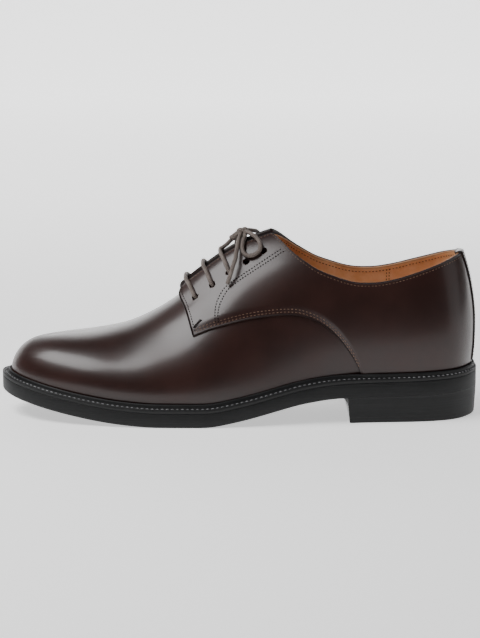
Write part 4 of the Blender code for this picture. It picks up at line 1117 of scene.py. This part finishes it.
# %% [markdown]
# A storm welt has a bead along its inner edge that keeps rain off the seam. Between the bead and the outer
# lip runs a groove, and the welt stitches lie in it. The profile's distances out change round the shoe, so
# each of its points is an array over the stations.

# %% Welt
GROOVE_DEPTH, GROOVE_MIDDLE, BEAD_GAP = 0.0006, 0.60, 0.0003
BLUR_REACH, BLUR_SPREAD = 8, 3.5


def welt_distances(side):
    """Where the bead starts and where the lip ends, out of the last, at each station."""
    share = along_share(sole_turns)
    cover = QUARTER_COVER * smooth_step((share - SEAM_END + 0.03) / 0.03)
    rises = np.linspace(0.0, 0.2, 41)
    wall = (last_point(sole_turns[:, None], rises, side)
            + last_normal(sole_turns[:, None], rises, side) * cover[:, None, None])
    base = feather(sole_turns, side)
    out = ((wall - base[:, None]) * plan_normal(sole_turns, side)[:, None]).sum(-1)
    tall = wall[..., 2] - base[:, None, 2]
    low = rise_where(tall, rises, np.zeros(len(sole_turns)))
    high = rise_where(tall, rises, np.full(len(sole_turns), BEAD_HEIGHT))
    spot = np.arange(len(sole_turns))
    at = [out[spot, np.clip(np.round(rise / rises[1]).astype(int), 0, 40)] for rise in (low, high)]
    bead = np.maximum(*at)
    bell = np.exp(-0.5 * (np.arange(-BLUR_REACH, BLUR_REACH + 1) / BLUR_SPREAD) ** 2)
    bead = np.convolve(np.pad(bead, BLUR_REACH, mode="reflect"), bell / bell.sum(), "valid")
    return bead + BEAD_GAP, edge_reach(sole_turns, side)


def welt_profile(side):
    """Distances out and heights up of each profile point at each station, and the groove's distance out."""
    bead, lip = welt_distances(side)
    level = np.full(bead.shape, WELT_THICKNESS)
    floor = 0 * level
    foot = bead + BEAD_WIDTH
    between = lip - foot
    groove = lip - GROOVE_MIDDLE * between
    angle = np.linspace(0.12, 0.92, 8) * np.pi
    rows = [(floor - WELT_TUCK, floor), (lip - 0.0004, floor), (lip, floor + 0.0003), (lip, level - 0.0008),
            (lip - 0.00012, level - 0.0003), (lip - 0.0004, level), (lip - 0.30 * between, level),
            (lip - 0.42 * between, level - 0.6 * GROOVE_DEPTH), (groove, level - GROOVE_DEPTH),
            (lip - 0.80 * between, level - 0.7 * GROOVE_DEPTH), (foot, level)]
    rows += [(bead + BEAD_WIDTH * (0.5 + 0.5 * math.cos(a)), level + BEAD_HEIGHT * math.sin(a) ** 0.7)
             for a in angle]
    rows += [(bead, level + 0.4 * BEAD_HEIGHT), (bead, level), (floor - WELT_TUCK, level)]
    return rows, groove


def welt_points(side):
    """Points of the profile round one side, and the line along the groove's floor."""
    rows, groove = welt_profile(side)
    points = carried(sole_turns, side, np.stack([out for out, _ in rows] + [groove], axis=1))
    foot = underside(points[..., 0]) + WELT_BASE
    ups = [up for _, up in rows] + [0 * groove + WELT_THICKNESS - GROOVE_DEPTH]
    points[..., 2] = foot + np.stack(ups, axis=1)
    return points[:, :-1], points[:, -1]


welt_sheets, groove_lines = [], {}
for side in SIDES:
    points, groove_lines[side] = welt_points(side)
    welt_sheets.append(sheet(np.concatenate([points, points[:, :1]], axis=1), 0, side == MEDIAL))
welt = make_piece("storm_welt", welt_sheets, [welt_rubber])
ready(welt, "welt")
print("welt:", len(welt.data.polygons), "faces")

# %% Insole
INSOLE_CORNER = 0.0006, 0.0005


def insole_walls(side):
    """Inside the welt below, inside the upper's wall above."""
    share = along_share(sole_turns)
    foot_wall = VAMP_WALL + (LINING_WALL - VAMP_WALL) * smooth_step((share - SEAM_END + 0.05) / 0.05)
    insets = [WELT_TUCK + CURVED_CLEARANCE + 0 * foot_wall] * 2 + [foot_wall + 2 * CURVED_CLEARANCE] * 3
    insets[4] = insets[4] + INSOLE_CORNER[0]
    points = carried(sole_turns, side, -np.stack(insets, axis=1))
    top = FEATHER_BASE + INSOLE_THICKNESS
    ups = np.array([WELT_BASE, FEATHER_BASE, FEATHER_BASE, top - INSOLE_CORNER[1], top])
    points[..., 2] = underside(points[..., 0]) + ups
    return points


insole = slab("insole_leather", {side: insole_walls(side) for side in SIDES},
              lambda grid: underside(grid[..., 0]) + WELT_BASE,
              lambda grid: underside(grid[..., 0]) + FEATHER_BASE + INSOLE_THICKNESS, lining)
ready(insole, "insole")
print("insole:", len(insole.data.polygons), "faces")

# %% [markdown]
# ## Laces
# A lace is a limp round cord. Three straight crossings pass over the facings and down through the eyelets.
# The top one feeds a strand that runs up to the knot, from which two loops and two ends hang. Each length is
# a tube: circles carried along a smooth route, with half-round ends. The routes are the ones the solids have,
# with a few more points that take loops, ends and strand into the knot.


# %% Routes and tubes
def smooth_route(points, count):
    """Even steps along a curve through the points. Its slope at each is half the way between the neighbours."""
    points = np.asarray(points, float)
    padded = np.concatenate([[2 * points[0] - points[1]], points, [2 * points[-1] - points[-2]]])
    a, b, c, d = (padded[shift:shift + len(points) - 1][:, None] for shift in range(4))
    t = np.linspace(0, 1, 24, endpoint=False)[None, :, None]
    dense = 0.5 * (2 * b + (c - a) * t
                   + (2 * a - 5 * b + 4 * c - d) * t ** 2 + (3 * b - a - 3 * c + d) * t ** 3)
    dense = np.concatenate([dense.reshape(-1, 3), points[-1:]])
    distances = walked(dense)
    return points_at(np.linspace(0, distances[-1], count), distances, dense)


def route_length(route):
    return float(np.linalg.norm(np.diff(route, axis=0), axis=1).sum())


def tube_sheet(route, diameter=LACE_DIAMETER, sides=16):
    """Circles square to the route. The first direction of each is square to one fixed helper direction too,
    and the radius falls as a quarter circle at both ends."""
    way = unit(np.gradient(route, axis=0))
    first = unit(np.cross(way, TUBE_HELPER))
    second = np.cross(way, first)
    distances = walked(route)
    near_end = np.clip(np.minimum(distances, distances[-1] - distances) / (diameter / 2), 0, 1)
    radius = diameter / 2 * np.sqrt(1 - (1 - near_end) ** 2)
    angle = np.linspace(0, 2 * np.pi, sides + 1)
    circle = first[:, None] * np.cos(angle)[None, :, None] + second[:, None] * np.sin(angle)[None, :, None]
    points = route[:, None] + circle * radius[:, None, None]
    where = np.stack(np.broadcast_arrays(distances[:, None] * 1000, angle[None, :] / (2 * np.pi)), axis=-1)
    return sheet(points, 0, True, where)


TUBE_HELPER = np.array([0.35, 0.15, 0.92])
WRAP_RADIUS, WRAP_WINDINGS, WRAP_THICKNESS, CORE_THICKNESS = 0.00150, 1.7, 0.0032, 0.0046
KNOT = np.array([0.0010, 0.0030 + y_centre, 0.1128])
KNOT_ROUTE = ((-0.0058, 0.0000, -0.0036), (-0.0030, 0.0000, -0.0012), (0.0010, 0.0000, 0.0014),
              (0.0048, 0.0000, 0.0026))
LOOP_ROUTE = ((0.0018, 0.0012, 0.0014), (0.0038, 0.0042, 0.0017), (0.0070, 0.0090, 0.0008),
              (0.0100, 0.0148, -0.0008), (0.0121, 0.0192, -0.0042), (0.0114, 0.0212, -0.0076),
              (0.0080, 0.0220, -0.0099), (0.0045, 0.0214, -0.0106), (0.0017, 0.0193, -0.0090),
              (0.0008, 0.0150, -0.0054), (0.0018, 0.0096, -0.0022), (0.0026, 0.0072, -0.0010),
              (0.0022, 0.0030, 0.0004))
END_ROUTE = ((0.0000, 0.0014, 0.0004), (-0.0006, 0.0050, -0.0008), (-0.0014, 0.0098, -0.0022),
             (-0.0022, 0.0156, -0.0052), (-0.0030, 0.0206, -0.0092), (-0.0034, 0.0234, -0.0122),
             (-0.0046, 0.0256, -0.0153), (-0.0058, 0.0276, -0.0190), (-0.0072, 0.0287, -0.0235),
             (-0.0086, 0.0294, -0.0275))
STRAND_ROUTE = ((-0.0134, -0.0010, -0.0100), (-0.0115, -0.0008, -0.0086), (-0.0090, -0.0004, -0.0068),
                (-0.0068, 0.0000, -0.0046), (-0.0046, 0.0002, -0.0026))


def tied(points, side):
    """A route given from the knot, on one side of it."""
    return KNOT + np.array(points) * (1, side, 1)


print("end of", round(1000 * route_length(smooth_route(tied(END_ROUTE, 1), 60)), 1), "mm, loop of",
      round(1000 * route_length(smooth_route(tied(LOOP_ROUTE, 1), 60)), 1), "mm")

# %% Crossings through the eyelets
LIE = LACE_DIAMETER / 2 + LACE_CLEARANCE * 0.5
CROSSING_PARTS = np.array([0.0, 0.0, 0.04, 0.30, 0.62, 1.0])
CROSSING_OUTS = np.array([-0.0058, -0.0022, 0.0006, LIE, LIE, LIE])


def crossing_route(number):
    """From inside the outer eyelet, over both facings and down into the inner one."""
    halves = []
    for side in SIDES:
        turn, rise = eyelet_place(number, side)
        where = turn_at(along_share(turn) - LACE_SLANT * CROSSING_PARTS / LAST_LENGTH)
        spot = rise + (rise_at_reach(where, side, FACING_GAP / 2) - rise) * CROSSING_PARTS
        out = quarter_out(where, spot, side) + CROSSING_OUTS
        halves.append(last_point(where, spot, side) + last_normal(where, spot, side) * out[:, None])
    return np.concatenate([halves[0], halves[1][::-1]])


for number in range(3):
    crossing = tube_sheet(smooth_route(crossing_route(number), 110))
    bar = make_piece("lace_crossing_%d" % (number + 1), [crossing], [lace_cord])
    ready(bar, "lace_bar_%d" % (number + 1))
print("three crossings")

# %% [markdown]
# The knot is one lace wound round the crossing of the two, so it is drawn as a short coil round a core. The
# loops leave it on both sides and come back into it.

# %% Knot, strand, loops and ends
def coil_route(core, radius, windings, count):
    """Circle of a radius round a core line, carried along it."""
    line = smooth_route(core, count)
    way = unit(np.gradient(line, axis=0))
    first = unit(np.cross(way, (0.0, 1.0, 0.0)))
    angle = np.linspace(0, 2 * np.pi * windings, count)[:, None]
    return line + radius * (first * np.cos(angle) + np.cross(way, first) * np.sin(angle))


knot_core = tied(KNOT_ROUTE, MEDIAL)
knot = make_piece("lace_knot_wraps", [
    tube_sheet(coil_route(knot_core, WRAP_RADIUS, WRAP_WINDINGS, 150), WRAP_THICKNESS),
    tube_sheet(smooth_route(knot_core, 40), CORE_THICKNESS)], [lace_cord])
ready(knot, "lace_knot")
strand = make_piece("lace_strand_up", [tube_sheet(smooth_route(tied(STRAND_ROUTE, MEDIAL), 30))], [lace_cord])
ready(strand, "lace_strand")
for side in SIDES:
    for word, points, far_end in (("loop", LOOP_ROUTE, "object"), ("end", END_ROUTE, "bare")):
        route = smooth_route(tied(points, side), 120)
        piece = make_piece("lace_%s_on_%s_side" % (word, side_name(side)), [tube_sheet(route)], [lace_cord])
        ready(piece, "lace_%s_%s" % (word, side_name(side)))
        tied_on = [knot, strand] if (word, side) == ("loop", LATERAL) else []
print("knot, strand, two loops and two ends")

# %% [markdown]
# ## Stitches
# A stitch is a short piece of thread whose ends dive into their holes. Each is a small capsule bent a little:
# four rings of six points between two tips, and all stitches of one thread are one mesh. Their places come
# from the leather itself: a row is the line where the distance from an edge has one value, cut into steps of
# one stitch.


# %% Rows cut into steps
STITCHES = {  # pitch, length, thickness, height of the middle and sinking of the ends, in metres
    "arch": (0.00235, 0.00165, 0.00050, 0.00004, 0.00025),
    "collar": (0.0022, 0.00150, 0.00046, 0.00004, 0.00025),
    "front": (0.0020, 0.00135, 0.00070, 0.00012, 0.00030),
    "facing": (0.0019, 0.00135, 0.00078, 0.00014, 0.00034),
    "bar-tack": (0.0010, 0.0024, 0.00080, 0.00022, 0.00034),
    "stay": (0.0021, 0.00145, 0.00044, 0.00003, 0.00025),
    "welt": (0.0031, 0.0022, 0.00085, 0.00055, 0.00045)}
SLOPE_STEP = 0.0004


def across_first(*grids):
    """The same grids with rows and columns changed over."""
    return [np.swapaxes(grid, 0, 1) for grid in grids]


def from_far_end(*grids):
    """The same grids with each row read backwards."""
    return [grid[:, ::-1] for grid in grids]


def only(line, rows):
    return [values[rows] for values in line]


def line_where(grid, outward, measure, goal):
    """Point and outward direction of each row of a grid where its measure first passes a goal."""
    spot = np.maximum((measure >= goal).argmax(axis=1), 1)[:, None]
    low, high = np.take_along_axis(measure, spot - 1, 1), np.take_along_axis(measure, spot, 1)
    part = np.clip((goal - low) / np.where(high == low, 1.0, high - low), 0.0, 1.0)[..., None]

    def between(values):
        before = np.take_along_axis(values, spot[..., None] - 1, 1)
        return (before + part * (np.take_along_axis(values, spot[..., None], 1) - before))[:, 0]
    return between(grid), between(outward)


def steps_along(line, pitch, stop):
    """Middle, direction and outward direction of each stitch on a line, at even steps of about one pitch."""
    points, outward = line
    distances = walked(points)
    length = distances[-1] - stop
    count = max(int(round(length / pitch)), 1)
    wanted = (np.arange(count) + 0.5) * length / count
    after, before = (points_at(wanted + by, distances, points) for by in (SLOPE_STEP, -SLOPE_STEP))
    way = unit(after - before)
    normal = points_at(wanted, distances, outward)
    normal -= way * (normal * way).sum(1, keepdims=True)
    return points_at(wanted, distances, points), way, unit(normal)


def stitched(kind, line, stop=0.0, turn_by=0.0):
    """Rings of every stitch of a row: half an ellipse along it for its thickness, sunk as a square of that
    place. stop is what the row stays short of the line's end, turn_by turns each stitch in its row."""
    pitch, length, thick, lift, sink = STITCHES[kind]
    middle, way, normal = (values[:, None, None] for values in steps_along(line, pitch, stop))
    across = np.cross(way, normal)
    way, across = (way * math.cos(turn_by) + across * math.sin(turn_by),
                   across * math.cos(turn_by) - way * math.sin(turn_by))
    place = np.linspace(-1, 1, 6)[None, :, None, None]
    angle = np.linspace(0, 2 * np.pi, 7)[None, None, :, None]
    radius = thick / 2 * np.sqrt(np.maximum(1 - place ** 4, 0.0))
    return (middle + way * place * length / 2 + normal * (lift - sink * place ** 2)
            + (across * np.cos(angle) + normal * np.sin(angle)) * radius)


def make_thread(name, rows, finish):
    """One mesh of many stitches. The squares of one stitch are numbered once and shifted for the others."""
    points = np.concatenate(rows)
    quads = grid_quads(points.shape[1], points.shape[2])
    quads = quads[None] + (np.arange(len(points)) * points.shape[1] * points.shape[2])[:, None, None]
    mesh = bpy.data.meshes.new(name)
    mesh.from_pydata(points.reshape(-1, 3).tolist(), [], quads.reshape(-1, 4).tolist())
    mesh.materials.append(finish)
    thread = sewn(name, mesh, THREAD_SEWN, outward=True)
    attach(thread, "root")
    return len(points)


print("stitch helpers are ready")

# %% [markdown]
# The quarters carry most of the rows: two along the lower edge, one along the front edge, the facing and the
# collar, and a dark double row that ends the facing. Its places are read off the photograph as distances
# along the shoe and across it from the ridge.

# %% Stitches of the quarters
FACING_ROWS = (
    ((0.1712, 0.0190), (0.1637, 0.0209), (0.1553, 0.0227), (0.1473, 0.0242), (0.1413, 0.0249), (0.1360, 0.0261),
     (0.1327, 0.0284), (0.1305, 0.0314), (0.1299, 0.0346), (0.1299, 0.0373)),
    ((0.1730, 0.0202), (0.1653, 0.0222), (0.1570, 0.0239), (0.1487, 0.0254), (0.1427, 0.0264), (0.1380, 0.0276),
     (0.1347, 0.0299), (0.1325, 0.0324), (0.1317, 0.0348), (0.1317, 0.0376)))
BAR_TACK, BAR_TURN = ((0.1168, 0.0358), (0.1190, 0.0349), (0.1215, 0.0340)), 1.2
ARCH_ROWS, COLLAR_ROW, FRONT_ROW = (1.6, 3.4), 2.0, 2.1  # distances from the edges, in millimetres
ARCH_ENDS = LAST_TOE + (SEAM_END - 0.004) * LAST_LENGTH


def line_on_quarter(places, side, count=60):
    """Smooth line over a quarter's face through places given along the shoe and across it."""
    flat = smooth_route(np.concatenate([np.array(places), np.zeros((len(places), 1))], axis=1), count)
    turn = turn_at(flat[:, 0] / LAST_LENGTH)
    rise = rise_at_reach(turn, side, flat[:, 1])
    return offset_point(turn, rise, side, quarter_out(turn, rise, side)), last_normal(turn, rise, side)


brown_rows, dark_rows = [], []
for side in SIDES:
    grid, maps = quarter_faces[side], quarter_maps[side]
    outward = grid_normals(grid, side)
    for distance in ARCH_ROWS:
        line = line_where(grid, outward, maps["low"], distance)
        brown_rows.append(stitched("arch", only(only(line, line[0][:, 0] < ARCH_ENDS), slice(2, None))))
    line = line_where(*from_far_end(grid, outward, maps["top"]), COLLAR_ROW)
    brown_rows.append(stitched("collar", only(line, slice(3, -2))))
    line = line_where(*only(across_first(grid, outward, maps["front"]), slice(3, -3)), FRONT_ROW)
    dark_rows.append(stitched("front", line))
    for row in FACING_ROWS:
        dark_rows.append(stitched("facing", line_on_quarter(row, side)))
    dark_rows.append(stitched("bar-tack", line_on_quarter(BAR_TACK, side), turn_by=BAR_TURN))
brown_count = make_thread("quarter_stitches_brown", brown_rows, brown_thread)
dark_count = make_thread("facing_stitches_dark", dark_rows, dark_thread)
print(brown_count, "brown and", dark_count, "dark stitches")

# %% Stitches of the lining and the backstay
LINING_ROW, LINING_SEAMS, STAY_ROW = 2.4, (0.0943, 0.0960), 1.2
LINING_STARTS, SEAMS_STOP = LAST_TOE + 0.56 * LAST_LENGTH, 0.0015

lining_rows, stay_rows = [], []
for side in SIDES:
    grid, from_top = backs[side][opening], above_edge[side][opening]
    outward = -grid_normals(grid, side)
    line = line_where(*from_far_end(grid, outward, from_top), LINING_ROW)
    lining_rows.append(stitched("collar", only(only(line, line[0][:, 0] > LINING_STARTS), slice(None, -3))))
    for x in LINING_SEAMS:
        line = line_where(*across_first(grid, outward, grid[..., 0]), x)
        lining_rows.append(stitched("collar", only(line, slice(8, None)), stop=SEAMS_STOP))
stay_way = unit(np.cross(np.gradient(stay_face, axis=0), np.gradient(stay_face, axis=1)), 1e-12)
stay_way *= np.sign(stay_way[12, 30, 0])
for flip in (1, -1):
    face, way = stay_face[::flip], stay_way[::flip]
    line = line_where(*across_first(face, way, lengths_along(face, 0)), STAY_ROW)
    stay_rows.append(stitched("stay", only(line, slice(2, 62))))
lining_count = make_thread("lining_stitches", lining_rows, dark_thread)
stay_count = make_thread("backstay_stitches", stay_rows, dark_thread)
print(lining_count, "stitches in the lining,", stay_count, "on the backstay")

# %% Stitches of the welt
welt_rows = [stitched("welt", (line, np.broadcast_to((0.0, 0.0, 1.0), line.shape)))
             for line in (groove_lines[side] for side in SIDES)]
welt_count = make_thread("welt_stitches", welt_rows, grey_thread)
print(welt_count, "stitches round the welt")

# %% [markdown]
# ## Floor and light
# The photograph was taken on white. The directions in which the leather's bright places mirror the room were
# worked out from its shape: nearly all of them point to one large soft box, high up in front of the toe. It
# gives the long band on the toe and the sheen on the facing. The room in front is dark, so the sides stay
# deep brown.


# %% Floor and backdrop
FLOOR_GLOW = 1.5
FLOOR_FADE, WALL_FADE = (-0.90, -0.50), (0.05, 1.10)
FLOOR_SIDES = (-3.5, 0.0, 3.5)
FLOOR_PROFILE = np.array([(-3.0, 0.0), (2.0, 0.0), (2.30, 0.04), (2.55, 0.17), (2.67, 0.42), (2.70, 0.80),
                          (2.70, 1.7)])


def grey(level):
    return (level, level, level)


def white_finish():
    """White round the shoe. In front, where only the leather could see it, the floor fades to a dim grey."""
    finish = Finish("studio_white", Roughness=0.9, Emission_Strength=FLOOR_GLOW)
    back = finish.node("ShaderNodeSeparateXYZ", values={0: finish.place()}, output=1)
    near, far = finish.between(back, *FLOOR_FADE), finish.between(back, *WALL_FADE)
    glow = finish.mix(far, grey(0.5), grey(1.0))
    return finish.feed({"Base Color": finish.mix(near, grey(0.22), grey(0.86)),
                        "Emission Color": finish.mix(near, grey(0.0), glow)})


floor_points = np.stack([np.stack([np.full(len(FLOOR_PROFILE), x), *FLOOR_PROFILE.T], axis=-1)
                         for x in FLOOR_SIDES])
floor = make_piece("studio_floor", [sheet(floor_points, 0, False)], [white_finish()])
print("floor faces", len(floor.data.polygons))


# %% Lights
def soft_light(name, place, aim, size, power):
    """A lit rectangle, turned from its place to its aim. Its sizes are in metres, its power is in watts."""
    data = bpy.data.lights.new(name, "AREA")
    data.shape, (data.size, data.size_y), data.energy = "RECTANGLE", size, power
    light = bpy.data.objects.new(name, data)
    light.location = place
    light.rotation_euler = (Vector(aim) - Vector(place)).to_track_quat("-Z", "Y").to_euler()
    bpy.context.collection.objects.link(light)


soft_light("light_front_left", (-0.62, -0.28, 0.98), (-0.04, 0.0, 0.05), (0.98, 0.50), 15.0)
soft_light("light_right", (1.10, -0.30, 0.40), (0.08, 0.0, 0.06), (0.8, 0.9), 1.6)
soft_light("light_backdrop", (0.0, 1.90, 1.50), (0.0, 2.50, 0.30), (2.4, 0.5), 14.0)
world = bpy.data.worlds.new("studio")
world.use_nodes = True
for socket, value in (("Color", (0.80, 0.81, 0.84, 1.0)), ("Strength", 0.06)):
    world.node_tree.nodes["Background"].inputs[socket].default_value = value
bpy.context.scene.world = world
print("three soft lights")
